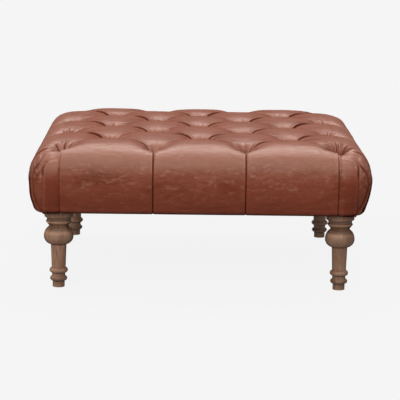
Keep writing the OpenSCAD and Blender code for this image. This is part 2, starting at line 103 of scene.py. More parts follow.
def make_camera():
    """The camera at the photograph's place, looking a little down."""
    camera = bpy.data.objects.new("camera", bpy.data.cameras.new("camera"))
    scene.collection.objects.link(camera)
    camera.data.lens = CAMERA_LENS
    camera.data.sensor_width = SENSOR
    camera.data.clip_start = 0.1
    camera.data.clip_end = 200
    aim = Euler((math.radians(90 - CAMERA_PITCH), 0, math.radians(-CAMERA_YAW)))
    roll = Quaternion((0, 0, 1), math.radians(CAMERA_ROLL))
    camera.rotation_mode = "QUATERNION"
    camera.rotation_quaternion = aim.to_quaternion() @ roll
    camera.location = CAMERA_AT
    scene.camera = camera


make_camera()
print("camera", round((CAMERA_AT - Vector((0, 0, 0.3))).length, 2), "m from the seat")

# %% Helpers for node trees
def fill(tree, node, inputs):
    """Puts values or links on a node's inputs, which go by name or by number."""
    for name, value in inputs.items():
        if isinstance(value, bpy.types.NodeSocket):
            tree.links.new(value, node.inputs[name])
        else:
            node.inputs[name].default_value = value
    return node


def add_node(tree, kind, inputs=None, **settings):
    """A node in a tree, with its settings and inputs."""
    node = tree.nodes.new("ShaderNode" + kind)
    for name, value in settings.items():
        setattr(node, name, value)
    return fill(tree, node, inputs or {})


def maths(tree, operation, a, b=0.0):
    """A Math node's output."""
    return add_node(tree, "Math", {0: a, 1: b}, operation=operation).outputs[0]


def product(tree, first, *others):
    """Values multiplied."""
    for other in others:
        first = maths(tree, "MULTIPLY", first, other)
    return first


def total(tree, first, *others):
    """Values added."""
    for other in others:
        first = maths(tree, "ADD", first, other)
    return first


def minus(tree, a, b):
    """One value less another."""
    return maths(tree, "SUBTRACT", a, b)


def blended(tree, share, a, b, kind="MIX"):
    """Colour a turned into colour b by a share."""
    return add_node(tree, "Mix", {0: share, 6: a, 7: b}, data_type="RGBA", blend_type=kind).outputs[2]


def spread(tree, value, low, high, to_low=0.0, to_high=1.0):
    """A value stretched from one range to another, smoothly and clamped."""
    inputs = {0: value, 1: low, 2: high, 3: to_low, 4: to_high}
    return add_node(tree, "MapRange", inputs, interpolation_type="SMOOTHSTEP").outputs[0]


def empty_tree(owner):
    """The node tree of a material or a world, with nothing in it."""
    owner.use_nodes = True
    owner.node_tree.nodes.clear()
    return owner.node_tree


# %% Helper for pieces
def object_of(bm, name):
    """Ends a bmesh as a new object in the scene."""
    mesh = bpy.data.meshes.new(name)
    bm.to_mesh(mesh)
    bm.free()
    made = bpy.data.objects.new(name, mesh)
    scene.collection.objects.link(made)
    return made


def outward_object(bm, name, weld=0):
    """The same, after seams up to a width are welded and the faces turned outward."""
    if weld:
        bmesh.ops.remove_doubles(bm, verts=bm.verts, dist=weld)
    bmesh.ops.recalc_face_normals(bm, faces=bm.faces)
    return object_of(bm, name)


# %% Floor
BACKGROUND = (0.921, 0.921, 0.921, 1)
FLOOR_SIZE = 160
FLOOR_PAINT = (0.03, 0.03, 0.03, 1)
FLOOR_GLOW = 0.953


def floor_material():
    """Pale paint that brightens itself for the camera and for reflections, but lights nothing."""
    material = bpy.data.materials.new("pale_floor")
    tree = empty_tree(material)
    rays = add_node(tree, "LightPath").outputs
    seen = maths(tree, "MAXIMUM", rays["Is Camera Ray"], rays["Is Glossy Ray"])
    seen = maths(tree, "MAXIMUM", seen, rays["Is Transmission Ray"])
    glow = add_node(tree, "Emission", {"Color": BACKGROUND, "Strength": product(tree, seen, FLOOR_GLOW)})
    paint = add_node(tree, "BsdfDiffuse", {"Color": FLOOR_PAINT})
    both = add_node(tree, "AddShader", {0: glow.outputs[0], 1: paint.outputs[0]})
    clear = add_node(tree, "BsdfTransparent")
    back = add_node(tree, "NewGeometry").outputs["Backfacing"]
    side = add_node(tree, "MixShader", {0: back, 1: both.outputs[0], 2: clear.outputs[0]})
    add_node(tree, "OutputMaterial", {"Surface": side.outputs[0]})
    return material


def make_floor():
    """One large sheet at z = 0, seen from above only."""
    bm = bmesh.new()
    bmesh.ops.create_grid(bm, x_segments=1, y_segments=1, size=FLOOR_SIZE / 2)
    floor = object_of(bm, "floor")
    floor.data.materials.append(floor_material())


make_floor()
print("floor", FLOOR_SIZE, "m square")

# %% Light
KEY_ENERGY = 1.95
KEY_SOFTNESS = 36
KEY_TILT = -28
FRONT_ENERGY = 2.3
FRONT_SOFTNESS = 60
FRONT_HEIGHT = 33
FRONT_SIDE = -14
WORLD_TOP = (0.92, 0.92, 0.92, 1)
WORLD_LOW = (0.14, 0.14, 0.14, 1)
WORLD_LIGHT = 0.32


def sun(name, energy, softness, elevation, azimuth):
    """A soft, even light like a large softbox, from an elevation and a side."""
    lamp = bpy.data.lights.new(name, "SUN")
    lamp.energy = energy
    lamp.angle = math.radians(softness)
    light = bpy.data.objects.new(name, lamp)
    light.rotation_euler = (math.radians(90 - elevation), 0, math.radians(azimuth))
    scene.collection.objects.link(light)


def make_world():
    """A pale room that is brighter above, and the plain background for the camera."""
    world = bpy.data.worlds.new("studio")
    scene.world = world
    tree = empty_tree(world)
    direction = add_node(tree, "TexCoord").outputs["Generated"]
    height = add_node(tree, "SeparateXYZ", {0: direction}).outputs["Z"]
    room = blended(tree, spread(tree, height, -0.2, 0.7), WORLD_LOW, WORLD_TOP)
    lit = add_node(tree, "Background", {"Color": room, "Strength": WORLD_LIGHT})
    shown = add_node(tree, "Background", {"Color": BACKGROUND, "Strength": 1.0})
    seen = add_node(tree, "LightPath").outputs["Is Camera Ray"]
    mix = add_node(tree, "MixShader", {0: seen, 1: lit.outputs[0], 2: shown.outputs[0]})
    add_node(tree, "OutputWorld", {"Surface": mix.outputs[0]})


make_world()
sun("softbox_above", KEY_ENERGY, KEY_SOFTNESS, 90 - KEY_TILT, 0)
sun("softbox_front", FRONT_ENERGY, FRONT_SOFTNESS, FRONT_HEIGHT, FRONT_SIDE)
scene.view_settings.view_transform = "Standard"

# %% [markdown]
# ## Finishes
# Every finish is a small tree of noises at the scale of the real thing. Larger effects are node
# groups: the slow mottling of dyed and handled surfaces, the puckers round the buttons, and later
# the grain of wood. They read Object coordinates, which here are metres from the middle of the
# floor, so a noise has the same size on every piece.

# %% Shared effects
def new_group(name, inputs, outputs):
    """An empty shader group, what it is given, and its end. Sockets are (name, kind, value)."""
    group = bpy.data.node_groups.new(name, "ShaderNodeTree")
    for label, kind, value in inputs:
        socket = group.interface.new_socket(name=label, in_out="INPUT", socket_type="NodeSocket" + kind)
        socket.default_value = value
    for label, kind in outputs:
        group.interface.new_socket(name=label, in_out="OUTPUT", socket_type="NodeSocket" + kind)
    return group, group.nodes.new("NodeGroupInput").outputs, group.nodes.new("NodeGroupOutput")


def noise_value(tree, vector, scale, detail, roughness=0.5, distortion=0.0):
    """A noise's value."""
    inputs = {"Vector": vector, "Scale": scale, "Detail": detail, "Roughness": roughness,
              "Distortion": distortion}
    return add_node(tree, "TexNoise", inputs).outputs["Fac"]


def cells_of(tree, vector, scale, feature="F1"):
    """Distance from the middle of the nearest cell."""
    inputs = {"Vector": vector, "Scale": scale}
    return add_node(tree, "TexVoronoi", inputs, feature=feature).outputs["Distance"]


def bumps(tree, height, strength, distance, over=None):
    """The Normal of a Bump node, which may lie over another."""
    inputs = {"Height": height, "Strength": strength, "Distance": distance}
    if over is not None:
        inputs["Normal"] = over
    return add_node(tree, "Bump", inputs).outputs[0]


def mottling_group():
    """Slow clouds of a darker and a lighter shade over a colour."""
    group, given, end = new_group(
        "mottling",
        [("Vector", "Vector", (0, 0, 0)), ("Base", "Color", (0.5, 0.5, 0.5, 1)),
         ("Dark", "Color", (0.2, 0.2, 0.2, 1)), ("Light", "Color", (0.8, 0.8, 0.8, 1)),
         ("Scale", "Float", 8.0), ("Amount", "Float", 0.5)],
        [("Color", "Color"), ("Clouds", "Float")],
    )
    broad = noise_value(group, given["Vector"], given["Scale"], 3.0, 0.55, 0.4)
    small = noise_value(group, given["Vector"], product(group, given["Scale"], 4.7), 5.0, 0.62)
    dark = product(group, spread(group, broad, 0.54, 0.34), given["Amount"])
    light = product(group, spread(group, small, 0.50, 0.70), given["Amount"])
    shade = blended(group, dark, given["Base"], given["Dark"])
    fill(group, end, {"Color": blended(group, light, shade, given["Light"]), "Clouds": small})
    return group


MOTTLING = mottling_group()


def placed(tree, group, inputs):
    """The outputs of a group's node in a material, with its inputs filled."""
    node = tree.nodes.new("ShaderNodeGroup")
    node.node_tree = group
    return fill(tree, node, inputs).outputs


def object_coordinates(tree, scale=(1, 1, 1), turn=(0, 0, 0)):
    """Object coordinates, stretched and turned."""
    source = add_node(tree, "TexCoord").outputs["Object"]
    return add_node(tree, "Mapping", {"Vector": source, "Scale": scale, "Rotation": turn}).outputs[0]


def new_material(name):
    """A material with one Principled shader, its tree, and that shader."""
    material = bpy.data.materials.new(name)
    material.use_nodes = True
    return material, material.node_tree, material.node_tree.nodes["Principled BSDF"]


def attribute(tree, name):
    """A value that the mesh carries at each point."""
    return add_node(tree, "Attribute", attribute_name=name, attribute_type="GEOMETRY").outputs["Fac"]


# %% [markdown]
# ### Worn pull-up leather
# The hide is dyed a warm red-brown and waxed, so it pales where it is stretched over a crest.
# Its colour also holds painted light: painted highlight on the upward faces, on the slopes behind
# the buttons, on the edge roll, along lip edges and on pucker ridges, and painted shade low down,
# in the folds, seams and pucker grooves, on the flaps, and at the rim where it is seen edge-on.
# Fine scratches run mostly level across the sides. The grain is a bump of small cells. The gloss
# is strong on top, where use has polished the wax, and fades where the leather is seen edge-on,
# so that its outline stays dark. A picture of leather could be laid over the seat instead, but
# noises have no seams, and they can follow the form.

# %% Leather's shades
LEATHER_BASE = (0.258, 0.068, 0.037, 1)
LEATHER_DARK = (0.175, 0.038, 0.018, 1)
LEATHER_LIGHT = (0.385, 0.158, 0.105, 1)
# The pale shade is stretched leather and also painted highlight on the parts that face the light.
LEATHER_PULLED_AND_HIGHLIGHT = (0.335, 0.140, 0.096, 1)
# The low shade is painted shade, darker towards the bottom and on the flaps.
LEATHER_LOW_SHADE = (0.240, 0.053, 0.028, 1)
# The darkest shade, painted shade in the folds, slits, seams, pucker grooves and at the rim.
LEATHER_FOLD_SHADE = (0.125, 0.020, 0.009, 1)
GLOSS_TINT = (1.0, 0.88, 0.74, 1)
TOP_GLOSS = 0.38
SIDE_GLOSS = 0.10
# Painted shade at the rim where the sides are seen edge-on, strongest on the flaps.
RIM_SHADE = 0.40
FLAP_RIM_SHADE = 0.95

# %% Puckers in the leather's surface
OUTER_ROWS = (-70 * MM, -40 * MM)
PUCKERS_STOP = (70 * MM, 55 * MM)
PUCKER_STARTS = (10 * MM, 18 * MM)
PUCKER_ENDS = (62 * MM, 24 * MM)


def pucker_group():
    """Folds that fan out from the nearest button: bumps for the surface, and masks of the
    grooves and of the ridges between them."""
    group, given, end = new_group(
        "puckers",
        [("Vector", "Vector", (0, 0, 0)), ("Spacing", "Float", STEP), ("Field", "Float", FIELD),
         ("Turns", "Float", 1.9)],
        [("Height", "Float"), ("Grooves", "Float"), ("Ridges", "Float")],
    )
    x, y, _ = add_node(group, "SeparateXYZ", {0: given["Vector"]}).outputs
    spacing, field = given["Spacing"], given["Field"]
    double = product(group, spacing, 2)
    u = maths(group, "DIVIDE", total(group, x, y), double)
    v = maths(group, "DIVIDE", minus(group, y, x), double)
    near_u, near_v = maths(group, "ROUND", u), maths(group, "ROUND", v)
    off_u, off_v = minus(group, u, near_u), minus(group, v, near_v)
    dx = product(group, minus(group, off_u, off_v), spacing)
    dy = product(group, total(group, off_u, off_v), spacing)
    r = maths(group, "SQRT", total(group, product(group, dx, dx), product(group, dy, dy)))
    far_x, far_y = maths(group, "ABSOLUTE", x), maths(group, "ABSOLUTE", y)
    past_both = minus(group, maths(group, "MINIMUM", far_x, far_y), field)
    past_one = minus(group, maths(group, "MAXIMUM", far_x, far_y), field)
    corner = spread(group, past_both, *OUTER_ROWS)
    outer = spread(group, past_one, *OUTER_ROWS)
    button = total(group, product(group, near_u, 7.3), product(group, near_v, 3.1))
    turns = product(group, given["Turns"], total(group, 1.0, product(group, corner, 0.35)))
    east = product(group, maths(group, "DIVIDE", dx, r), turns)
    north = product(group, maths(group, "DIVIDE", dy, r), turns)
    twist = total(group, button, product(group, r, 12))
    around = add_node(group, "CombineXYZ", {0: east, 1: north, 2: twist}).outputs[0]
    away = maths(group, "ABSOLUTE", minus(group, noise_value(group, around, 1.0, 1.0), 0.5))
    uneven = spread(group, noise_value(group, around, 0.6, 0.0), 0.38, 0.60, 0.15, 1.0)
    more_to_the_right = product(group, corner, spread(group, x, -0.2, 0.2, 0.5, 2.2))
    strength = total(group, 0.45, more_to_the_right, product(group, outer, 0.5))
    reach = product(group, spread(group, r, *PUCKER_STARTS), spread(group, r, *PUCKER_ENDS),
                    spread(group, past_one, *PUCKERS_STOP), strength, uneven)
    grooves = product(group, spread(group, away, 0.0, 0.07, 1.0, 0.0), reach)
    ridges = product(group, spread(group, away, 0.0, 0.2), reach)
    height = minus(group, product(group, ridges, 0.5), grooves)
    fill(group, end, {"Height": height, "Grooves": grooves, "Ridges": ridges})
    return group


PUCKERS = pucker_group()
print("nodes in the puckers:", len(PUCKERS.nodes))

# %% Scratches and creases
STREAKS = ((14, 60, 110), 0.52, 0.72, 0.30)
LONG_SCRATCHES = ((20, 20, 300), 0.57, 0.76, 0.50)
SHORT_SCRATCHES = ((90, 90, 420), 0.58, 0.74, 0.50)


def scratches_of(tree, scale, low, high, most):
    """Thin pale marks: a noise that is stretched along the level directions. It shows from the
    low value on, and most strongly from the high one."""
    marks = noise_value(tree, object_coordinates(tree, scale), 1.0, 4.0, 0.7)
    return spread(tree, marks, low, high, 0.0, most)


def creases_of(tree, scale, width):
    """Fine closed creases: the lines along which a noise passes through its middle value."""
    field = noise_value(tree, object_coordinates(tree, (0.5 * scale, scale, scale)), 1.0, 2.0, 0.5, 0.6)
    return spread(tree, maths(tree, "ABSOLUTE", minus(tree, field, 0.5)), 0.0, width, 1.0, 0.0)


# %% Leather
def cover_shades(tree, colour, edge_on, fans):
    """The cover's colour: paler where stretched and with painted highlight on top, on lip edges and on
    pucker ridges; painted shade low down, in folds, grooves and flaps, and at its rim.
    """
    # Pucker ridges are paled as painted highlight.
    ridges = product(tree, fans["Ridges"], 0.6)
    # The rim is painted shade where the sides and flaps are seen edge-on.
    on_flap = spread(tree, edge_on, 0.30, 0.46, 0.0, FLAP_RIM_SHADE)
    rim = maths(tree, "MAXIMUM", product(tree, attribute(tree, "flap"), on_flap),
                spread(tree, edge_on, 0.50, 0.85, 0.0, RIM_SHADE))
    # Stretched leather and painted highlight pale it; the other shares are painted shade: low down, in the
    # pucker grooves, in the folds and at the rim.
    shades = (
        (attribute(tree, "low"), LEATHER_LOW_SHADE),
        (total(tree, attribute(tree, "pulled"), ridges), LEATHER_PULLED_AND_HIGHLIGHT),
        (product(tree, fans["Grooves"], 0.8), LEATHER_FOLD_SHADE),
        (attribute(tree, "fold_shade"), LEATHER_FOLD_SHADE),
        (product(tree, rim, minus(tree, 1.0, attribute(tree, "polish"))), LEATHER_FOLD_SHADE),
    )
    for share, shade in shades:
        colour = blended(tree, share, colour, shade)
    return colour


def cover_gloss(tree, gloss, edge_on):
    """Full gloss where the cover is polished, little on its sides, and none in its folds."""
    plain = spread(tree, edge_on, 0.25, 0.60, SIDE_GLOSS, 0.0)
    gained = product(tree, attribute(tree, "polish"), minus(tree, gloss, plain))
    return product(tree, total(tree, plain, gained), minus(tree, 1.0, attribute(tree, "fold_shade")))


def leather_material(name, covers_button=False):
    """Waxed leather. The cover carries 'pulled', 'low', 'fold', 'polish' and 'flap' at its
    points; a button doesn't. 'pulled' is stretched leather and painted highlight, and 'low' and
    'fold' are painted shade."""
    material, tree, shader = new_material(name)
    here = object_coordinates(tree)
    hide = placed(tree, MOTTLING, {"Vector": object_coordinates(tree, (0.6, 1.1, 1.1)),
                                   "Base": LEATHER_BASE, "Dark": LEATHER_DARK, "Light": LEATHER_LIGHT,
                                   "Scale": 16.0, "Amount": 0.85})
    marks = [scratches_of(tree, *looks) for looks in (STREAKS, LONG_SCRATCHES, SHORT_SCRATCHES)]
    creases, fine_creases = creases_of(tree, 60.0, 0.05), creases_of(tree, 150.0, 0.06)
    colour = hide["Color"]
    for mark in marks:
        colour = blended(tree, mark, colour, LEATHER_LIGHT)
    colour = blended(tree, product(tree, creases, 0.30), colour, LEATHER_DARK)
    wrinkles = noise_value(tree, object_coordinates(tree, (0.6, 1, 1)), 80.0, 6.0, 0.66)
    raised = total(tree, product(tree, cells_of(tree, here, 620.0, "SMOOTH_F1"), 0.10),
                   product(tree, wrinkles, 0.75), product(tree, marks[1], 0.4))
    sunk = total(tree, product(tree, creases, 0.30), product(tree, fine_creases, 0.14))
    normal = bumps(tree, minus(tree, raised, sunk), 0.5, 1.3 * MM)
    edge_on = add_node(tree, "LayerWeight").outputs["Facing"]
    gloss = spread(tree, edge_on, 0.58, 0.97, TOP_GLOSS, 0.0)
    if not covers_button:
        fans = placed(tree, PUCKERS, {"Vector": here})
        colour = cover_shades(tree, colour, edge_on, fans)
        normal = bumps(tree, fans["Height"], 0.8, 2.6 * MM, normal)
        gloss = cover_gloss(tree, gloss, edge_on)
    rough = spread(tree, hide["Clouds"], 0.3, 0.72, 0.33, 0.52)
    fill(tree, shader, {"Base Color": colour, "Roughness": rough, "Normal": normal,
                        "Specular IOR Level": gloss, "Specular Tint": GLOSS_TINT})
    return material


LEATHER = leather_material("worn_leather")
BUTTON_LEATHER = leather_material("button_leather", covers_button=True)
print("nodes in the leather:", len(LEATHER.node_tree.nodes))

# %% [markdown]
# ## The leather cover, step 1: two flat grids
# The buttons pull the leather down at 25 places, and between neighbouring buttons the spare
# leather folds into a pleat. All pleats run at 45 degrees, so the top starts as a square grid
# whose squares are poked and joined again into diamonds: its lines then follow the pleats. The
# sides start as a second grid, a strip that is wrapped round the seat, over the edge roll, down
# and under. The rows of both crowd towards the pleats, where the folds need them.

# %% Shapes of the top
SQUARES = 8
CROWDING = 0.24
PIT_SEAT = 11.3 * MM
PIT_WIDTH = 14 * MM
PLEAT_SHARE = 0.10
PLEAT_NEAR_SHARE = 0.09
PLEAT_FADE = 40 * MM
WEAK_PLEAT_SHARE = 0.35
HALVES_MEET = 25 * MM
CREASE = 6 * MM
CREASE_PART = 0.7
SWELL = 30 * MM
SWELL_PART = 0.3


def smooth(value, low, high):
    """0 below low, 1 above high, and a smooth rise between."""
    t = min(max((value - low) / (high - low), 0), 1)
    return t * t * (3 - 2 * t)


def either(a, b):
    """Two overlapping sinks as one, smoothly."""
    return 1 - (1 - a) * (1 - b)


def pit(r):
    """How far the pit of a button has sunk at a distance from it, from 1 at the button to 0."""
    return math.exp(-max(r - PIT_SEAT, 0) / PIT_WIDTH)


def crease(distance, sharpness=1.0):
    """Section across a pleat: a sharp crease in a wide, shallow swell."""
    sharp = CREASE_PART * sharpness * math.exp(-distance / CREASE)
    return sharp + SWELL_PART * math.exp(-((distance / SWELL) ** 2))


def pleat_share(r):
    """How far a pleat on the top has sunk, at a distance from its nearer button."""
    return PLEAT_SHARE + PLEAT_NEAR_SHARE * math.exp(-r / PLEAT_FADE)


def top_sink(i, j):
    """How far a point of the top has sunk, from 0 on the broad crests to 1 at a button."""
    u = i + j - 2 * round((i + j) / 2)
    v = i - j - 2 * round((i - j) / 2)
    across = STEP / math.sqrt(2)
    rightward = smooth(i * STEP, -HALVES_MEET, HALVES_MEET)
    sharp_u = 1 - (1 - WEAK_PLEAT_SHARE) * rightward
    sharp_v = WEAK_PLEAT_SHARE + (1 - WEAK_PLEAT_SHARE) * rightward
    creases = either(crease(abs(u) * across, sharp_u), crease(abs(v) * across, sharp_v))
    r = math.hypot(u, v) * across
    return either(pit(r), pleat_share(r) * creases)


def crest_height(i, j):
    """Height of the crests, which fall a little from the middle of the seat to its edges."""
    reach = max(abs(i), abs(j)) * 2 / HALVES
    return SEAT_TOP - CROWN * reach**3


def top_point(i, j):
    """A point of the buttoned top. i and j count half spacings from the middle."""
    crest = crest_height(i, j)
    return Vector((i * STEP, j * STEP, crest - (crest - BUTTON_Z) * top_sink(i, j)))


def crowded_diagonally(i, j):
    """A place on the top, moved towards the nearest pleats."""
    u = i + j - CROWDING * math.sin(math.pi * (i + j))
    v = i - j - CROWDING * math.sin(math.pi * (i - j))
    return (u + v) / 2, (u - v) / 2


print("a crest is", round((SEAT_TOP - BUTTON_Z) / MM, 1), "mm above its buttons")

# %% Section of the sides
ROLL_ROWS = 10
SIDE_ROWS = 7
TURN_ROWS = 4
HEM_ROWS = 2
STRIP_ROWS = ROLL_ROWS + SIDE_ROWS + TURN_ROWS + HEM_ROWS


def section(row):
    """Distance out, height and tilt of the surface in one row of the strip."""
    turn_z = SEAT_BASE + EDGE_TURN
    turn_out = EDGE_ROLL - SIDE_DRAW
    if row <= ROLL_ROWS:
        a = 90 * row / ROLL_ROWS
        out = EDGE_ROLL * math.sin(math.radians(a))
        z = BELLY_Z + (EDGE_TOP - BELLY_Z) * math.cos(math.radians(a))
        return out, z, 90 - a
    row -= ROLL_ROWS
    if row <= SIDE_ROWS:
        share = row / SIDE_ROWS
        return EDGE_ROLL - SIDE_DRAW * share**2, BELLY_Z - (BELLY_Z - turn_z) * share, 0
    row -= SIDE_ROWS
    if row <= TURN_ROWS:
        a = 90 * row / TURN_ROWS
        out = turn_out - EDGE_TURN * (1 - math.cos(math.radians(a)))
        return out, turn_z - EDGE_TURN * math.sin(math.radians(a)), -a
    share = (row - TURN_ROWS) / HEM_ROWS
    inner = FRAME_OUT - HEM_IN
    return turn_out - EDGE_TURN + (inner - turn_out + EDGE_TURN) * share, SEAT_BASE, -90


print("rows in the strip:", STRIP_ROWS)

# %% Shapes of the sides
CORNER_COLUMNS = 12
SIDE_COLUMNS = HALVES * SQUARES + CORNER_COLUMNS
SIDE_PLEAT_SHARE = 0.012
SIDE_PLEAT_REACH = 36 * MM
CORNER_PLEAT_REACH = 27 * MM
SIDE_PLEAT_SHARPNESS = 1.4
SIDE_CREASE = 4 * MM
SIDE_CREASE_WIDER = 14 * MM
SIDE_CREASE_CLOSES = (30 * MM, 80 * MM)
PLEATS_TURN = 35 * MM


def side_sink(across, along, out, reach):
    """How far a point of the strip has sunk: across and along are its distances from the two
    side pleats or pleat directions at its button, out its distance past the outer buttons, and
    reach says how far out the button draws its pleat down."""
    r = math.hypot(across, out)
    diagonal = pleat_share(r) * (1 - (1 - crease(r / math.sqrt(2))) ** 2)
    fade = math.exp(-((out / reach) ** SIDE_PLEAT_SHARPNESS))
    share = SIDE_PLEAT_SHARE + (1 - SIDE_PLEAT_SHARE) * fade
    width = SIDE_CREASE + SIDE_CREASE_WIDER * (1 - smooth(out, *SIDE_CREASE_CLOSES))
    upright = share * either(math.exp(-across / width), math.exp(-along / width))
    turning = smooth(out, 0, PLEATS_TURN)
    return either(pit(r), diagonal * (1 - turning) + upright * turning)


def corner_reach(a):
    """How far a corner reaches out at an angle, against a round one."""
    c, s = math.cos(math.radians(a)), math.sin(math.radians(a))
    return (c**CORNER_FULLNESS + s**CORNER_FULLNESS) ** (-1 / CORNER_FULLNESS)


def crowded(a):
    """A place along a side, moved towards the odd ones, where the side pleats are."""
    return a + CROWDING * math.sin(math.pi * a)


def strip_point(column, row):
    """A point of the strip that is wrapped round the seat: front, right, back, then left."""
    side = int(column // SIDE_COLUMNS) % 4
    n = column - SIDE_COLUMNS * (column // SIDE_COLUMNS)
    out, z, tilt = section(row)
    slope = math.radians(tilt)
    corner = n > HALVES * SQUARES
    if corner:
        a = math.radians((n - HALVES * SQUARES) * 90 / CORNER_COLUMNS)
        sunk = side_sink(out * math.sin(a), out * math.cos(a), out, CORNER_PLEAT_REACH)
    else:
        along = crowded(n / SQUARES - HALVES / 2)
        near_corner = smooth(abs(along), 1.6, 2.4)
        reach = SIDE_PLEAT_REACH + (CORNER_PLEAT_REACH - SIDE_PLEAT_REACH) * near_corner
        no_other = 4 * STEP
        sunk = side_sink(abs(along - 2 * math.floor(along / 2) - 1) * STEP, no_other, out, reach)
    depth = sunk * (EDGE_TOP - BUTTON_Z) * (math.cos(slope) if tilt < 0 else 1)
    if corner and tilt > 0:
        depth += CORNER_DROP * math.sin(slope) * smooth(out, 0, 40 * MM)
    out -= depth * math.cos(slope)
    z -= depth * math.sin(slope)
    if corner:
        hug = out * corner_reach(math.degrees(a))
        spot = Vector((FIELD + hug * math.sin(a), -FIELD - hug * math.cos(a), z))
    else:
        spot = Vector((along * STEP, -FIELD - out, z))
    return Matrix.Rotation(math.radians(90 * side), 3, "Z") @ spot


print("columns in the strip:", 4 * SIDE_COLUMNS)

# %% Build the skin
SKIN_WELD = 0.2 * MM


def buttoned_top(bm):
    """A square grid, poked and joined into diamonds, then moved to the buttoned shape."""
    cells = HALVES * SQUARES
    bmesh.ops.create_grid(bm, x_segments=cells, y_segments=cells, size=0.5)
    square_edges = [e for e in bm.edges if len(e.link_faces) == 2]
    bmesh.ops.poke(bm, faces=bm.faces[:])
    bmesh.ops.dissolve_edges(bm, edges=square_edges)
    for vert in bm.verts:
        vert.co = top_point(*crowded_diagonally(vert.co.x * HALVES, vert.co.y * HALVES))


def wrapped_strip(bm):
    """A second grid, wrapped round the edge, down the sides and under."""
    columns = 4 * SIDE_COLUMNS
    strip = bmesh.ops.create_grid(bm, x_segments=columns, y_segments=STRIP_ROWS, size=0.5)
    for vert in strip["verts"]:
        column = round((vert.co.x + 0.5) * columns)
        row = round((vert.co.y + 0.5) * STRIP_ROWS)
        vert.co = strip_point(column % columns, row)


def cover_skin():
    """The whole outer skin as one object, open only where the hem ends under the frame."""
    bm = bmesh.new()
    buttoned_top(bm)
    wrapped_strip(bm)
    return outward_object(bm, "leather_seat", SKIN_WELD)


cover = cover_skin()
print("skin before it is filled:", len(cover.data.polygons), "faces")

# %% [markdown]
# ## The leather cover, step 2: fill it
# Wadding pushes the leather out between the buttons. A short cloth simulation does this: the
# pleats, the buttons and the hem are pinned, and pressure swells everything between them. The
# movement is capped, because the seat has to stay the size that the frame gives it.

# %% Read and move the points of a mesh
def vectors_of(collection, name):
    """One vector of each thing in a mesh's list, as an array."""
    flat = np.empty(len(collection) * 3)
    collection.foreach_get(name, flat)
    return flat.reshape(-1, 3)


def points_of(mesh):
    """The mesh's points."""
    return vectors_of(mesh.vertices, "co")


def normals_of(mesh):
    """The mesh's point normals."""
    return vectors_of(mesh.vertex_normals, "vector")


def set_points(mesh, points):
    """Moves the mesh's points."""
    mesh.vertices.foreach_set("co", points.astype(np.float32).ravel())
    mesh.update()


def across_pleats(points):
    """Distances across the two families of pleats on the top, and the places along them."""
    u = (points[:, 0] + points[:, 1]) / STEP
    v = (points[:, 0] - points[:, 1]) / STEP
    across = STEP / math.sqrt(2)
    return (u - 2 * np.round(u / 2)) * across, (v - 2 * np.round(v / 2)) * across, u, v


def past_buttons(points):
    """How far the points lie out past the square of the outer buttons."""
    return np.abs(points[:, :2]).max(axis=1) - FIELD


# %% Fill the cover
CLOTH_SETTINGS = {
    "quality": 6, "mass": 0.4, "tension_stiffness": 25, "compression_stiffness": 25,
    "shear_stiffness": 12, "bending_stiffness": 3, "vertex_group_mass": "pins",
    "use_pressure": True, "uniform_pressure_force": 4.0,
}
FRAMES = 20
MOST_MOVE = 9 * MM


def held_points(points):
    """True for the points that the stitches, buttons and staples hold."""
    across_u, across_v, _, _ = across_pleats(points)
    beyond = past_buttons(points)
    held = (beyond < 1 * MM) & (np.minimum(np.abs(across_u), np.abs(across_v)) < 1 * MM)
    along = np.abs(points[:, :2]).min(axis=1)
    to_pleat = np.abs(along - np.where(along > FIELD * 2 / 3, FIELD, FIELD / 3))
    held |= (beyond > 0) & (to_pleat < 1.5 * MM)
    held |= points[:, 2] < SEAT_BASE + EDGE_TURN / 2
    return held


def fill_with_wadding(skin):
    """Swells the skin between its pins, and caps how far any point moves."""
    start = points_of(skin.data)
    pins = skin.vertex_groups.new(name="pins")
    pins.add([int(n) for n in np.nonzero(held_points(start))[0]], 1.0, "REPLACE")
    cloth = skin.modifiers.new("fill", "CLOTH")
    for name, value in CLOTH_SETTINGS.items():
        setattr(cloth.settings, name, value)
    cloth.settings.effector_weights.gravity = 0
    cloth.collision_settings.use_collision = False
    for number in range(1, FRAMES + 1):
        scene.frame_set(number)
    graph = bpy.context.evaluated_depsgraph_get()
    move = points_of(skin.evaluated_get(graph).data) - start
    skin.modifiers.remove(cloth)
    scene.frame_set(1)
    length = np.linalg.norm(move, axis=1)
    move *= (np.minimum(length, MOST_MOVE) / np.maximum(length, 1e-9))[:, None]
    set_points(skin.data, start + move)
    print("wadding moved the leather by up to", round(float(length.max()) / MM, 1), "mm before the cap")


fill_with_wadding(cover)

# %% Round it off
FINENESS = 2


def apply_modifiers(piece):
    """Turns what the modifiers show into the piece's own mesh."""
    graph = bpy.context.evaluated_depsgraph_get()
    made = bpy.data.meshes.new_from_object(piece.evaluated_get(graph))
    piece.modifiers.clear()
    piece.data = made


def subdivide(piece, levels):
    """Subdivision Surface, applied."""
    rounding = piece.modifiers.new("rounding", "SUBSURF")
    rounding.levels = levels
    rounding.render_levels = levels
    rounding.boundary_smooth = "PRESERVE_CORNERS"
    apply_modifiers(piece)


subdivide(cover, FINENESS)
print("skin after rounding:", len(cover.data.polygons), "faces")

# %% [markdown]
# ## The leather cover, step 3: folds, puckers and hand
# What makes buttoned leather look real is small. Each form is a move of the cover's own points,
# because a slit under a lip also needs points that move sideways. Each function gives back its
# moves, a share of painted shade for its folds and a share of painted highlight along its lip edges,
# so that the finish can darken and pale the same places.
#
# On the left half the pleats that run back and to the left are tucked under from the right, on
# the right half it is the other way round. Each leaves a dark slit under a rounded lip.

# %% Helpers for forms
def soft_step(value, low, high):
    """Smooth rise of an array from 0 at low to 1 at high."""
    t = np.clip((value - low) / (high - low), 0, 1)
    return t * t * (3 - 2 * t)


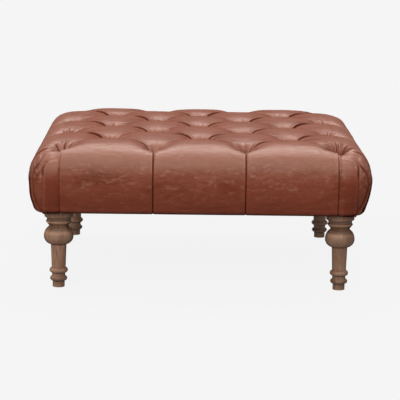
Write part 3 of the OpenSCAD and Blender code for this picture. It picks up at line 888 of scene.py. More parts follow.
def bump_at(value, middle, width):
    """A smooth bump of height 1 at the middle of an array's range."""
    return np.exp(-(((value - middle) / width) ** 2))


def no_work(points):
    """Moves, shares of painted shade and shares of painted highlight that are all zero."""
    return np.zeros_like(points), np.zeros(len(points)), np.zeros(len(points))


# %% Folds on the top
SLIT_DEPTH = 9 * MM
SLIT_WIDTH = 2.2 * MM
WALL_WIDTH = 2.9 * MM
WALL_SHADE = 1.3
LIP_PLACE = 5.0 * MM
LIP_WIDTH = 4.2 * MM
LIP_HIGHLIGHT_LINE = 2.6 * MM
LIP_RISE = 2.4 * MM
LIP_LAP = 3.0 * MM
FOLD_STEP = 2.0 * MM
FOLD_STEP_WIDTH = 1.5 * MM
FOLD_SETTLE = 18 * MM
FOLD_STARTS = (0.10, 0.27)
FOLD_ENDS = (0.72, 0.36)
WEAK_FOLD = 0.16


def eased(y, rightward):
    """The share of its depth that a pleat keeps: less towards the front of each half."""
    left = 1 - 0.5 * (1 - rightward) * soft_step(y, -0.28, -0.33)
    return left * (1 - 0.4 * rightward * soft_step(y, -0.10, -0.16))


def pleat_folds(points, normals):
    """The pleats between buttons: the leather behind a pleat stands higher, and its rounded lip
    laps over a dark slit on the near side."""
    across_u, across_v, u, v = across_pleats(points)
    variety = np.array([noise.noise(Vector((x * 7, y * 7, 2))) for x, y, _ in points])
    rightward = soft_step(points[:, 0], -12 * MM, 12 * MM)
    shared = soft_step(past_buttons(points), 6 * MM, -6 * MM) * np.clip(0.95 + 0.9 * variety, 0.5, 1.35)
    shared *= eased(points[:, 1], rightward)
    moves, folds, lip_highlights = no_work(points)
    diagonal = math.sqrt(0.5)
    families = (
        (across_u, np.ceil(v / 2) - v / 2, 1 - rightward, (diagonal, diagonal, 0)),
        (-across_v, u / 2 - np.floor(u / 2), rightward, (-diagonal, diagonal, 0)),
    )
    for across, along, own_half, back in families:
        strength = soft_step(along, *FOLD_STARTS) * soft_step(along, *FOLD_ENDS) * shared
        strength *= WEAK_FOLD + (1 - WEAK_FOLD) * own_half
        slit = bump_at(across, -0.5 * MM, SLIT_WIDTH) * strength
        lip = bump_at(across, LIP_PLACE, LIP_WIDTH) * strength
        step = np.tanh(across / FOLD_STEP_WIDTH) * np.exp(-np.abs(across) / FOLD_SETTLE) * strength
        moves[:, 2] += LIP_RISE * lip + FOLD_STEP * step - SLIT_DEPTH * slit
        moves -= np.outer(LIP_LAP * lip, back)
        # The wall's darkness is painted shade in the slit, and the lip's pale line is painted highlight.
        wall = bump_at(across, 0.4 * MM, WALL_WIDTH) * np.sqrt(strength)
        folds = np.maximum(folds, WALL_SHADE * wall)
        lip_highlights = np.maximum(lip_highlights, bump_at(across, LIP_PLACE, LIP_HIGHLIGHT_LINE) * strength)
    return moves, folds, lip_highlights


# %% [markdown]
# ### Puckers
# A button gathers the leather, which breaks into short folds that run out from it. No two
# buttons have the same ones, so they are drawn at random, from a fixed seed. The two right
# corners have more leather to gather, and behind their buttons it stands in a fan.

# %% Puckers round the buttons
PUCKER_AREA = 90 * MM
PUCKERS_EACH = 11
PUCKERS_AT_CORNER = 15
PUCKER_LENGTHS = (28, 60)
PUCKER_DEPTHS = (1.2, 3.0)
PUCKER_WIDTH = 1.7 * MM
PUCKER_WIDENING = 0.05
PUCKER_FROM = (9 * MM, 18 * MM)
PUCKER_RIDGE = 0.55
PUCKER_SHADE = 0.36
PUCKER_STRENGTH = 0.85
SHARE_RIGHT_CORNERS = 2.3
SHARE_LEFT_CORNERS = 0.6
FAN_ANGLES = (26, 48, 68, 90, 112, 134, 156)
FAN_LENGTH = 78 * MM
FAN_DEPTH = 4.2 * MM
FAN_WIDTH = 2.2 * MM
FAN_WIDENING = 0.055


def button_places():
    """The places of all buttons, in the plan, row by row from the front."""
    half = HALVES // 2
    return [(i * STEP, j * STEP) for j in range(-half, half + 1)
            for i in range(-half, half + 1) if (i + j) % 2 == 0]


def puckers(points, normals):
    """Short radial folds in the leather round every button, with a fan of deep ones behind the
    buttons of the right corners."""
    draw = random.Random(7)
    moves, folds, lip_highlights = no_work(points)
    for x, y in button_places():
        corner = min(abs(x), abs(y)) > FIELD - MM
        fanned = corner and x > 0
        share = 1.0 if not corner else SHARE_RIGHT_CORNERS if fanned else SHARE_LEFT_CORNERS
        dx, dy = points[:, 0] - x, points[:, 1] - y
        near = np.nonzero(np.hypot(dx, dy) < PUCKER_AREA)[0]
        dx, dy = dx[near], dy[near]
        r = np.hypot(dx, dy)
        for turn in range(PUCKERS_AT_CORNER if corner else PUCKERS_EACH):
            angle = draw.uniform(0, 2 * math.pi)
            length = draw.uniform(*PUCKER_LENGTHS) * MM
            depth = draw.uniform(*PUCKER_DEPTHS) * MM * share * PUCKER_STRENGTH
            width = PUCKER_WIDTH + PUCKER_WIDENING * r
            if fanned and turn < len(FAN_ANGLES):
                angle, length, depth = math.radians(FAN_ANGLES[turn]), FAN_LENGTH, FAN_DEPTH
                width = FAN_WIDTH + FAN_WIDENING * r
            aside = dy * math.cos(angle) - dx * math.sin(angle)
            ahead = dx * math.cos(angle) + dy * math.sin(angle)
            reach = soft_step(ahead, *PUCKER_FROM) * soft_step(ahead, length, length * 0.4)
            groove = bump_at(aside, 0, width)
            ridges = bump_at(np.abs(aside), 2 * width, width)
            moves[near] -= normals[near] * (depth * (groove - PUCKER_RIDGE * ridges) * reach)[:, None]
            # The pucker grooves are darkened as painted shade.
            folds[near] = np.maximum(folds[near], PUCKER_SHADE * share * groove * reach)
    return moves, folds, lip_highlights


# %% [markdown]
# ### Pleats down the sides, and flaps at the corners
# The spare leather of each outer button runs on over the edge and down the side as one pleat,
# whose one edge laps over the other. A corner has the most to take up. There the leather is
# folded back beside the pleat into a flap with a rounded top, and what is left hangs in a V
# round the corner. All four sides are made alike, by turning the points and using one function.

# %% Pleats down the sides
SEAM_DEPTH = 4.5 * MM
SEAM_WIDTH = 1.6 * MM
SEAM_LIP = 0.9 * MM
SEAM_LIP_PLACE = 3.4 * MM
SEAM_LIP_WIDTH = 2.4 * MM
SEAM_LAP = 1.2 * MM
SEAM_STARTS = (34 * MM, 62 * MM)
FAINT_SEAM_SHADE = 0.65
# A painted highlight beside each side pleat's seam.
LIP_HIGHLIGHT_SHARE = 0.4
LIP_HIGHLIGHT_PLACE = 4.0 * MM
LIP_HIGHLIGHT_WIDTH = 2.0 * MM


def side_frames(points):
    """For each side: its number, the points turned so that it is the front, and the direction of
    its right end."""
    for turn in range(4):
        there = np.array(Matrix.Rotation(math.radians(-90 * turn), 3, "Z"))
        back = np.array(Matrix.Rotation(math.radians(90 * turn), 3, "Z"))
        yield turn, points @ there.T, back[:, 0]


def side_pleats(points, normals):
    """A groove down each side pleat, with one edge lapping over it."""
    moves, folds, lip_highlights = no_work(points)
    height = points[:, 2]
    above_hem = soft_step(height, SEAT_BASE - MM, SEAT_BASE + 3 * MM)
    shown = LIP_HIGHLIGHT_SHARE * soft_step(height, 0.30, 0.40)
    for _, local, right in side_frames(points):
        mine = soft_step(-local[:, 1] - FIELD, *SEAM_STARTS) * above_hem
        for place in (-FIELD, -FIELD / 3, FIELD / 3, FIELD):
            leftmost = place < -FIELD / 2
            lap = 1 if leftmost else -1
            across = (local[:, 0] - place) * lap
            seam = bump_at(across, -0.3 * MM, SEAM_WIDTH) * mine
            lip = bump_at(across, SEAM_LIP_PLACE, SEAM_LIP_WIDTH) * mine
            moves += normals * (SEAM_LIP * lip - SEAM_DEPTH * seam)[:, None]
            moves -= np.outer(SEAM_LAP * lap * lip, right)
            # The seam is darkened as painted shade, and the pale line beside it is painted highlight.
            folds = np.maximum(folds, seam * (FAINT_SEAM_SHADE if leftmost else 1.0))
            lip_highlights = np.maximum(lip_highlights, shown * bump_at(across, LIP_HIGHLIGHT_PLACE, LIP_HIGHLIGHT_WIDTH) * mine)
    return moves, folds, lip_highlights


# %% Flaps at the corners
FLAP_OUT = 50 * MM
FLAP_WIDER = 6 * MM
FLAP_WIDER_ON_SIDES = 14 * MM
FLAP_TOP = 0.373
FLAP_HIGHER = 13 * MM
FLAP_SLANT = 10 * MM
FLAP_ROUND = 20 * MM
FLAP_RISE = 1.3 * MM
FLAP_LIP = 1.6 * MM
FLAP_SLIT_DEPTH = 8 * MM
FLAP_SLIT_PLACE = 2.8 * MM
FLAP_SLIT_WIDTH = 3.1 * MM
FLAP_SLIT_BELOW_TOP = 20 * MM
FLAP_SLIT_TALL = 17 * MM
FLAP_SLIT_LEAST = 0.22
FRONT_GAPE = 0.8


def flap_places(points):
    """For each of the eight flaps: the place along its side from the pleat, the distance outside
    its edge, the share of it that is there at each point, and how open its slit is."""
    for turn, local, _ in side_frames(points):
        on_side = turn in (1, 3)
        for hand in (-1, 1):
            over = 1 if hand == 1 or on_side else 0
            along = local[:, 0] * hand - FIELD - (FLAP_WIDER_ON_SIDES if on_side else FLAP_WIDER * over)
            top = FLAP_TOP + FLAP_HIGHER * over + FLAP_SLANT * np.clip(1 - along / FLAP_OUT, 0, 1)
            dx = np.maximum(along - (FLAP_OUT - FLAP_ROUND), 0)
            dz = np.maximum(points[:, 2] - (top - FLAP_ROUND), 0)
            here = soft_step(along, 2 * MM, 12 * MM) * soft_step(-local[:, 1] - FIELD, 20 * MM, 50 * MM)
            yield along, np.hypot(dx, dz) - FLAP_ROUND, here, 1.0 if on_side else FRONT_GAPE


def corner_flaps(points, normals):
    """Beside each corner, leather folded back on itself: a low step with a rounded outer top
    corner, whose slit is deepest just under the rounding."""
    moves, folds, lip_highlights = no_work(points)
    height = points[:, 2]
    round_there = bump_at(height, FLAP_TOP - FLAP_SLIT_BELOW_TOP, FLAP_SLIT_TALL)
    for along, edge, here, gape in flap_places(points):
        inside = soft_step(edge, 2.5 * MM, -3.5 * MM) * here
        outer = soft_step(along, FLAP_OUT - 22 * MM, FLAP_OUT - 8 * MM) * here
        slit = bump_at(edge, FLAP_SLIT_PLACE, FLAP_SLIT_WIDTH) * outer * gape
        slit *= FLAP_SLIT_LEAST + (1 - FLAP_SLIT_LEAST) * round_there
        lip = bump_at(edge, -2.2 * MM, 2.4 * MM) * here
        moves += normals * (FLAP_RISE * inside + FLAP_LIP * lip - FLAP_SLIT_DEPTH * slit)[:, None]
        # The slit is darkened as painted shade, and the flap's lip is paled as painted highlight.
        folds = np.maximum(folds, 1.6 * slit)
        lip_highlights = np.maximum(lip_highlights, lip * (0.25 + 0.7 * soft_step(height, 0.32, 0.39)))
    return moves, folds, lip_highlights


# %% Slack leather round the corners
SLACK_LINE = [(0.113, 0.374), (0.073, 0.345), (0.055, 0.370)]
SLACK_RISE = 1.3 * MM
SLACK_WIDTH = 2.6 * MM
SLACK_GROOVE_BESIDE = 6.5 * MM
SLACK_ELSEWHERE = 0.45


def from_line(s, z, start, end):
    """Distance of points from a straight line between two places."""
    run = np.array(end) - np.array(start)
    t = np.clip(((s - start[0]) * run[0] + (z - start[1]) * run[1]) / (run @ run), 0, 1)
    return np.hypot(s - start[0] - t * run[0], z - start[1] - t * run[1])


def slack_creases(points, normals):
    """Round each corner, between its two flaps, slack leather hangs in a V. It shows most at the
    front left."""
    past = np.maximum(np.abs(points[:, :2]) - FIELD, 0)
    round_corner = np.arctan2(past[:, 0], past[:, 1]) * EDGE_ROLL
    lines = zip(SLACK_LINE, SLACK_LINE[1:])
    away = np.min([from_line(round_corner, points[:, 2], *line) for line in lines], axis=0)
    front_left = (points[:, 0] < 0) & (points[:, 1] < 0)
    here = (past.min(axis=1) > 0) * np.where(front_left, 1.0, SLACK_ELSEWHERE)
    ridge = bump_at(away, 0, SLACK_WIDTH) * here
    groove = bump_at(away, SLACK_GROOVE_BESIDE, SLACK_WIDTH) * here
    # The groove is darkened as painted shade, and the ridge is paled as painted highlight.
    return normals * (SLACK_RISE * (ridge - groove))[:, None], 0.35 * groove, 0.8 * ridge


# %% [markdown]
# ### Hand work
# Leather that was stretched and stapled by hand is never quite even. Two sizes of noise make
# hills and ripples, and a third makes long shallow creases where the leather is slack. Then the
# whole cover is drawn in where the photograph shows it so.

# %% Hand work
HILLS = 1.3 * MM
RIPPLES = 0.5 * MM
CREASING = 0.75 * MM
CREASE_SPREAD = 0.22
LEFT_DRAW = 5.5 * MM
BELLY_DRAW = 3.5 * MM
FRONT_SHIFT = 3 * MM


def unevenness(points, normals):
    """Slow hills, small ripples, and long shallow creases where the leather is slack."""
    moves = np.empty(len(points))
    for n, (x, y, z) in enumerate(points):
        hills = noise.noise(Vector((x, y, z)) * 5.5)
        ripples = noise.noise(Vector((x * 14 + 7, y * 26 + 3, z * 26 + 1)))
        slack = 0.5 + 0.5 * noise.noise(Vector((x * 6, y * 9, z * 9 + 5)))
        lines = noise.noise(Vector((x * 20, y * 48, z * 48 + 9)))
        creased = slack * math.exp(-((lines / CREASE_SPREAD) ** 2))
        moves[n] = HILLS * hills + RIPPLES * ripples - CREASING * creased
    free = soft_step(points[:, 2], SEAT_BASE + 2 * MM, SEAT_BASE + 18 * MM)
    return normals * (moves * free)[:, None]


def drawn_in(points):
    """The cover isn't quite even: its left side lies further in, its belly is drawn in at the
    right end, and the front's pleats sit a little to the left."""
    moves = np.zeros_like(points)
    x, y, z = points.T
    moves[:, 0] += LEFT_DRAW * soft_step(-x, 0.40, 0.49) * soft_step(z, 0.255, 0.315)
    moves[:, 0] -= BELLY_DRAW * soft_step(x, 0.42, 0.49) * soft_step(z, 0.400, 0.350)
    held = 1 - soft_step(np.abs(x), FIELD + 50 * MM, FIELD + 90 * MM)
    moves[:, 0] -= FRONT_SHIFT * soft_step(-y - FIELD, 10 * MM, 50 * MM) * held
    return moves


def work_the_leather(mesh):
    """All the small forms, one after another, and the shares of painted shade and painted highlight that
    they leave.
    """
    points, normals = points_of(mesh), normals_of(mesh)
    points = points + unevenness(points, normals)
    _, folds, lip_highlights = no_work(points)
    for work in (side_pleats, corner_flaps, slack_creases, puckers, pleat_folds):
        moves, sunk, raised = work(points, normals)
        points = points + moves
        folds, lip_highlights = np.maximum(folds, sunk), np.maximum(lip_highlights, raised)
    set_points(mesh, points + drawn_in(points))
    return folds, lip_highlights


folds, lip_highlights = work_the_leather(cover.data)
print("deepest fold share", round(float(folds.max()), 2))

# %% [markdown]
# ### What the finish needs to know
# The leather's colour follows its form, so each point carries a few shares from 0 to 1 for the
# material to read, and most of them are painted highlight and painted shade. The shade in the folds
# and the highlight along lip edges come from the work above, and the rest is measured on the
# finished cover. A painted mask would do for one render, but not after a change of shape.

# %% What the finish needs to know
# Painted shade on the flaps and low down.
FLAP_PAINTED_SHADE = 0.85
FLAP_SHADE = 0.22
# The most painted shade in a slit.
FOLD_SHADE_MOST = 0.9
LOW_SHADE_DARKNESS = 0.75
# Painted highlight on the slopes behind the buttons and on the edge roll.
SLOPE_HIGHLIGHT = 0.75
ROLL_HIGHLIGHT = 0.9


def carry(mesh, name, values):
    """Keeps a value at each point of a mesh, for its material to read."""
    layer = mesh.attributes.new(name, "FLOAT", "POINT")
    layer.data.foreach_set("value", values.astype(np.float32))


def pulled_and_highlight_share(points, upward, lip_highlights):
    """1 where the leather is stretched over a crest and where painted highlight lies on upward faces, the
    slopes behind the buttons, the edge roll and lip edges; 0 in the folds.
    """
    across_u, across_v, _, _ = across_pleats(points)
    beyond = past_buttons(points)
    to_pleat = np.minimum(np.abs(across_u), np.abs(across_v))
    # broad pales the crests as stretched leather and the upward faces as painted highlight; slopes and roll
    # are painted highlight on the tongues behind the buttons and on the edge roll.
    crest = soft_step(to_pleat, 6 * MM, 60 * MM) * soft_step(beyond, 70 * MM, 0)
    broad = (0.20 + 0.36 * crest) * soft_step(upward, 0, 0.9)
    slopes = SLOPE_HIGHLIGHT * soft_step(1 - upward, 0.02, 0.16) * soft_step(beyond, 30 * MM, 0)
    roll = ROLL_HIGHLIGHT * soft_step(beyond, 0, 25 * MM) * soft_step(upward, 0.2, 0.75)
    return np.clip(np.maximum(np.maximum(broad, slopes), roll) + lip_highlights, 0, 1)


def finish_shares(mesh, folds, lip_highlights):
    """'pulled' as stretched leather and as painted highlight over crests, slopes, the roll and lip
    edges, 'polish' on top, 'low' as painted shade at the foot and in the flaps, 'flap' on the flaps
    alone, and 'fold' as painted shade in every slit and seam."""
    points = points_of(mesh)
    height, upward = points[:, 2], normals_of(mesh)[:, 2]
    flap = np.max([soft_step(edge, 0, -12 * MM) * here for _, edge, here, _ in flap_places(points)], axis=0)
    in_flaps = FLAP_SHADE * flap * soft_step(height, 0.37, 0.31)
    return {
        # 'pulled' is stretched leather and painted highlight.
        "pulled": pulled_and_highlight_share(points, upward, lip_highlights),
        "polish": soft_step(upward, 0, 0.55),
        # 'low' is painted shade: darker towards the bottom and on the flaps.
        "low": np.maximum(LOW_SHADE_DARKNESS * soft_step(height, 0.36, 0.25), FLAP_PAINTED_SHADE * flap),
        "flap": flap,
        # Painted shade in every slit, seam and pucker groove, and in the flaps.
        "fold_shade": np.clip(np.maximum(FOLD_SHADE_MOST * folds, in_flaps), 0, FOLD_SHADE_MOST),
    }


for name, values in finish_shares(cover.data, folds, lip_highlights).items():
    carry(cover.data, name, values)
    print(name, "is over a half at", int((values > 0.5).sum()), "of", len(values), "points")

# %% [markdown]
# ## The leather cover, step 4: close the inside
# The hem ends under the frame. From its edge the inner face of the wadding goes up beside the
# frame and over the foam, so the piece is a closed shell like the solid that it stands for.

# %% Close the inside
INNER_FACE = [(23.5, 228.0), (53.5, 228.0), (88.5, 331.0), (61.0, 367.8)]


def push_out(spot, out, z):
    """The point at another distance out from the square of the outer buttons."""
    core = Vector((min(max(spot.x, -FIELD), FIELD), min(max(spot.y, -FIELD), FIELD), 0))
    away = Vector((spot.x, spot.y, 0)) - core
    return core + away.normalized() * out + Vector((0, 0, z))


def close_inside(mesh):
    """Extrudes the hem's edge up the inside, and fills the ceiling."""
    bm = bmesh.new()
    bm.from_mesh(mesh)
    rim = [e for e in bm.edges if e.is_boundary]
    for out, z in INNER_FACE:
        made = bmesh.ops.extrude_edge_only(bm, edges=rim)["geom"]
        rim = [e for e in made if isinstance(e, bmesh.types.BMEdge)]
        for vert in {v for e in rim for v in e.verts}:
            vert.co = push_out(vert.co, out * MM, z * MM)
    made = bmesh.ops.extrude_edge_only(bm, edges=rim)["geom"]
    inner = [v for v in made if isinstance(v, bmesh.types.BMVert)]
    bmesh.ops.pointmerge(bm, verts=inner, merge_co=Vector((0, 0, INNER_FACE[-1][1] * MM)))
    bmesh.ops.recalc_face_normals(bm, faces=bm.faces)
    bm.to_mesh(mesh)
    open_edges = len([e for e in bm.edges if not e.is_manifold])
    bm.free()
    return open_edges


print("open edges in the cover:", close_inside(cover.data))

# %% [markdown]
# ### Put the cover in place
# Every new piece gets a finish, a body to ride on, a material slot, and the nodes of the frame
# that it stands for.

# %% Put the cover in place
def dress(piece, material, replaced=()):
    """Gives a new piece its finish, its body and the nodes that it stands for."""
    piece.data.materials.clear()
    piece.data.materials.append(material)
    piece.data.shade_smooth()
    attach(piece, "root")
    if replaced:
        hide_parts(*replaced)


dress(cover, LEATHER, ["leather_cover"])

# %% [markdown]
# ## Turned legs
# Each leg is one turning: foot, two rings with a waist between them, tapered shaft, bulb, fillet,
# top ring, groove and flared top. A profile is drawn once and spun round its axis, as a lathe
# does. A Screw modifier could spin it too, but here the brightness by height, partly from use and
# partly painted light and shade, is written on the points at once, so the finished mesh is needed.

# %% Leg profile
LEG_H = 225 * MM
LEG_AT = 408 * MM


def arc(centre, radii, start, end, steps):
    """Points of an elliptical arc, with the radius across and height up, in millimetres."""
    points = []
    for n in range(steps + 1):
        a = math.radians(start + (end - start) * n / steps)
        points.append((centre[0] + radii[0] * math.cos(a), centre[1] + radii[1] * math.sin(a)))
    return points


def rounded(core, height, radii, start_r, end_r, steps):
    """An arc that bulges out, between the radii at which it meets its neighbours."""
    start = -math.degrees(math.acos((start_r - core) / radii[0]))
    end = math.degrees(math.acos((end_r - core) / radii[0]))
    return arc((core, height), radii, start, end, steps)


def leg_profile():
    """The turned outline from the nail hole at the foot, whose rim hides the glide, to the bolt
    hole at the top."""
    foot_top, waist, shaft_foot, shaft_top, neck = 17.6, 19.2, 20.3, 22.8, 27.4
    bulb_r = 43
    bulb_core = bulb_r * 0.46
    bulge = bulb_r - bulb_core
    return (
        [(0, 18.2), (1.65, 18.2), (1.65, 3), (12.8, 3), (12.8, 0.8)]
        + arc((16.4, 1.8), (1, 1), -90, 0, 4)
        + [(foot_top, 26 - 7.3)]
        + rounded(25 - 8.3, 26, (8.3, 7.3), foot_top, waist, 14)
        + rounded(26.8 - 8.7, 50.3, (8.7, 8.1), waist, shaft_foot, 14)
        + [(20.5, 64), (22.2, 114), (22.5, 121)]
        + rounded(bulb_core, 151, (bulge, 24), shaft_top, bulb_r, 14)
        + rounded(bulb_core, 151, (bulge, 29.8), bulb_r, neck, 18)[1:]
        + arc((27.2, 180.6), (1.6, 1.3), -90, 90, 6)
        + arc((33, 194.3), (3.8, 3.8), -60, 90, 12)
        + [(32.8, 199), (34.2, 200)]
        + arc((41, 200.5), (6.8, 8), 180, 90, 8)
        + [(41, 225), (4.15, 225), (4.15, 169.85), (0, 169.85)]
    )


print("points in the leg's profile:", len(leg_profile()))

# %% Spin a profile
LEG_STEPS = 96
LEG_SHARP = math.radians(35)
WELD = 0.01 * MM


def turned(bm, outline, x, y, base, steps):
    """Spins an outline of (radius, height) in millimetres round an upright axis."""
    verts = [bm.verts.new((x + r * MM, y, base + z * MM)) for r, z in outline]
    edges = [bm.edges.new(pair) for pair in zip(verts, verts[1:])]
    bmesh.ops.spin(bm, geom=verts + edges, cent=(x, y, 0), axis=(0, 0, 1), angle=2 * math.pi,
                   steps=steps, use_merge=True)


def turned_leg(node, x, y, material):
    """The leg that stands for one node, spun round its own axis."""
    bm = bmesh.new()
    turned(bm, leg_profile(), x, y, 0, LEG_STEPS)
    leg = outward_object(bm, "turned_" + node, WELD)
    dress(leg, material, [node])
    leg.data.set_sharp_from_angle(angle=LEG_SHARP)
    return leg


# %% [markdown]
# ### Stained and waxed wood
# The legs are a coarse-grained wood stained grey-brown. Pores run up and down as short dark
# dashes, and the figure is broader and paler. The grain is a node group of two stretched noises,
# because the frame's beech and plywood need it too.

# %% Wood grain
def grain_group():
    """Wood whose grain runs along Z of the vector: a broad figure with fine pores in it."""
    group, given, end = new_group(
        "wood_grain",
        [("Vector", "Vector", (0, 0, 0)), ("Base", "Color", (0.4, 0.25, 0.15, 1)),
         ("Light", "Color", (0.5, 0.35, 0.2, 1)), ("Pores", "Color", (0.2, 0.1, 0.06, 1)),
         ("Figure Scale", "Float", 38.0), ("Pore Scale", "Float", 420.0), ("Pore Amount", "Float", 0.7)],
        [("Color", "Color"), ("Figure", "Float"), ("Height", "Float")],
    )
    drawn, longer = [add_node(group, "Mapping", {"Vector": given["Vector"], "Scale": scale}).outputs[0]
                     for scale in ((1, 1, 0.12), (1, 1, 0.06))]
    figure = noise_value(group, drawn, given["Figure Scale"], 5.0, 0.6, 0.8)
    pores = noise_value(group, longer, given["Pore Scale"], 3.0, 0.6)
    shade = blended(group, spread(group, figure, 0.38, 0.62), given["Base"], given["Light"])
    open_pores = product(group, spread(group, pores, 0.55, 0.72), given["Pore Amount"])
    shade = blended(group, open_pores, shade, given["Pores"])
    fill(group, end, {"Color": shade, "Figure": figure, "Height": pores})
    return group


def put_finish(tree, shader, colour, rough, height, strength, distance):
    """A shader's colour, its roughness, and the small bumps from a height."""
    normal = bumps(tree, height, strength, distance)
    fill(tree, shader, {"Base Color": colour, "Roughness": rough, "Normal": normal})


WOOD_GRAIN = grain_group()
print("node groups:", [group.name for group in bpy.data.node_groups])

# %% Stained wood
WOOD_BASE = (0.266, 0.135, 0.078, 1)
WOOD_DARK = (0.068, 0.030, 0.017, 1)
WOOD_LIGHT = (0.400, 0.225, 0.141, 1)


def wood_material():
    """Dark turned wood with upright grain, paler and darker by height, partly from use and partly as painted
    light and shade, and old wax in its grooves.
    """
    material, tree, shader = new_material("turned_wood")
    grain = placed(tree, WOOD_GRAIN, {"Vector": object_coordinates(tree), "Base": WOOD_BASE,
                                      "Light": WOOD_LIGHT, "Pores": WOOD_DARK})
    # Paler and darker by height and by leg: partly use, partly painted light and shade.
    worn = blended(tree, 1.0, grain["Color"], attribute(tree, "wear_and_light"), "MULTIPLY")
    colour = blended(tree, attribute(tree, "hollow"), worn, WOOD_DARK)
    rough = spread(tree, grain["Figure"], 0.3, 0.7, 0.42, 0.58)
    put_finish(tree, shader, colour, rough, grain["Height"], 0.3, 0.4 * MM)
    edge_on = add_node(tree, "LayerWeight").outputs["Facing"]
    fill(tree, shader, {"Specular IOR Level": spread(tree, edge_on, 0.30, 0.75, 0.4, 0.0)})
    return material


WOOD = wood_material()
print("nodes in the wood:", len(WOOD.node_tree.nodes))

# %% [markdown]
# ### Wear, painted light and old wax
# The list of heights makes the wood paler and darker stretch by stretch, partly from use and partly
# as painted light and shade: the stretch under the bulb is lightened where the bulb's shadow falls,
# and the neck and the groove are darkened where shade falls. The shades are set against the
# photographed leg, stretch by stretch: each pair is a height in millimetres and how bright the wood
# is there, beside its plain stain. Each leg also gets one overall brightness, which is painted
# light. Wax stays in the grooves; it needs no list, since it lies where the turning is hollow.

# %% Wear, painted light and old wax
# Partly use, partly painted light and shade: 2.3 under the bulb lightens where the bulb's shadow falls, and
# the dips at the neck and the groove are painted shade.
WEAR_AND_LIGHT = (
    [(0, 0.95), (14, 0.95)]  # foot
    + [(20, 0.6), (28, 0.6), (34, 1.1)]  # low ring and waist
    + [(58, 1.0), (115, 1.0), (121, 1.2)]  # upper ring and shaft
    + [(128, 2.3), (132, 1.5)]  # under the bulb, where it is palest
    + [(139, 0.9), (153, 0.85), (158, 0.95), (164, 1.25), (168, 1.0)]  # bulb and its shoulder
    + [(172, 0.62), (178, 0.6)]  # neck
    + [(184, 1.35), (194, 1.4)]  # fillet and top ring
    + [(200, 0.7), (206, 0.9), (212, 1.2), (225, 1.25)]  # groove and flared top
)
# One overall brightness for each leg, painted light: the legs stand in different light.
LEG_PAINTED_LIGHT = {"leg_front_left": 1.05, "leg_front_right": 0.87, "leg_back_left": 1.0, "leg_back_right": 1.1}
WAX_DARKNESS = 0.55
WAX_FULL_DEPTH = 4.5
STRETCH = 15


def wear_light_and_wax(leg, shade):
    """Keeps at each point how far it lies below the mean radius of its stretch of the turning, and
    how bright the wood is there, partly from use and partly as painted light and shade, times the
    leg's shade, which is painted light."""
    outline = sorted((z, r) for r, z in leg_profile() if r > 10)
    heights = np.arange(0, LEG_H / MM + 1)
    radii = np.interp(heights, *zip(*outline))
    around = np.pad(radii, STRETCH // 2, mode="edge")
    mean = np.convolve(around, np.ones(STRETCH) / STRETCH, mode="valid")
    depth = np.clip((mean - radii) / WAX_FULL_DEPTH, 0, 1)
    height = points_of(leg.data)[:, 2] / MM
    carry(leg.data, "hollow", WAX_DARKNESS * np.interp(height, heights, depth))
    carry(leg.data, "wear_and_light", shade * np.interp(height, *zip(*WEAR_AND_LIGHT)))


legs = []
for side, x in (("left", -LEG_AT), ("right", LEG_AT)):
    for end, y in (("front", -LEG_AT), ("back", LEG_AT)):
        node = f"leg_{end}_{side}"
        legs.append(turned_leg(node, x, y, WOOD))
        wear_light_and_wax(legs[-1], LEG_PAINTED_LIGHT[node])
print("legs:", len(legs), "of", len(legs[0].data.polygons), "faces")

# %% [markdown]
# ## Covered buttons
# A covered button is a metal shell with leather drawn over it and tucked in at the back. It is
# low and round, and the tucks show as small gathers at its rim. The 25 are alike, so one profile
# is spun round each button's place.

# %% Buttons
BUTTON_OUTLINE = [(0, 0), (8.6, 0), (10.3, 1.1), (11, 3.4), (11, 7.0), (10.4, 9.3), (8.6, 11.4),
                  (5.9, 12.9), (2.9, 13.8), (0, 14)]
BUTTON_STEPS = 44
GATHERS = 11
GATHER_SHARE = 0.035


def covered_button(bm, x, y, base):
    """One button, spun round its own upright axis, with gathers low on its rim."""
    turned(bm, BUTTON_OUTLINE, x, y, base, BUTTON_STEPS)
    for vert in bm.verts:
        dx, dy = vert.co.x - x, vert.co.y - y
        if MM < math.hypot(dx, dy) < 2 * BUTTON_D:
            low = 1 - smooth(vert.co.z - base, 2 * MM, 9 * MM)
            draw = 1 - GATHER_SHARE * low * (1 + math.cos(GATHERS * math.atan2(dy, dx)))
            vert.co.x, vert.co.y = x + dx * draw, y + dy * draw


def make_buttons():
    """All the buttons as one piece, like the node that they stand for."""
    bm = bmesh.new()
    for x, y in button_places():
        covered_button(bm, x, y, button_low.z)
    dress(outward_object(bm, "covered_buttons", WELD), BUTTON_LEATHER, ["buttons"])


make_buttons()
print("buttons:", len(button_places()))

# %% [markdown]
# ## The cloth under the frame
# Black cloth keeps the dust in and hides the frame from below. It is cut square, its edges are
# turned in, and staples hold it up under the rails. It is stretched, so it hangs only a little
# between them. The bolts of the legs pass through four round holes.

# %% Cloth's finish
def cloth_finish():
    """Black non-woven cloth: a fine tangle of fibres with a slight shine."""
    material, tree, shader = new_material("black_cloth")
    here = object_coordinates(tree)
    fibres = cells_of(tree, here, 900.0)
    dusty = spread(tree, noise_value(tree, here, 6.0, 6.0, 0.7), 0.45, 0.75, 0.0, 0.5)
    colour = blended(tree, dusty, (0.014, 0.014, 0.015, 1), (0.045, 0.042, 0.040, 1))
    put_finish(tree, shader, colour, spread(tree, fibres, 0.0, 0.6, 0.75, 0.95), fibres, 0.5, 0.2 * MM)
    return material


CLOTH = cloth_finish()
print("nodes in the cloth:", len(CLOTH.node_tree.nodes))

# %% Holes and turned edges of the cloth
cloth_low, cloth_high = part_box("dust_cover")
CLOTH_HALF = cloth_high.x
CLOTH_TURN = 12 * MM
CLOTH_THICK = 0.35 * MM
BOLT_HOLE = 4.6 * MM
HOLE_STEPS = 16


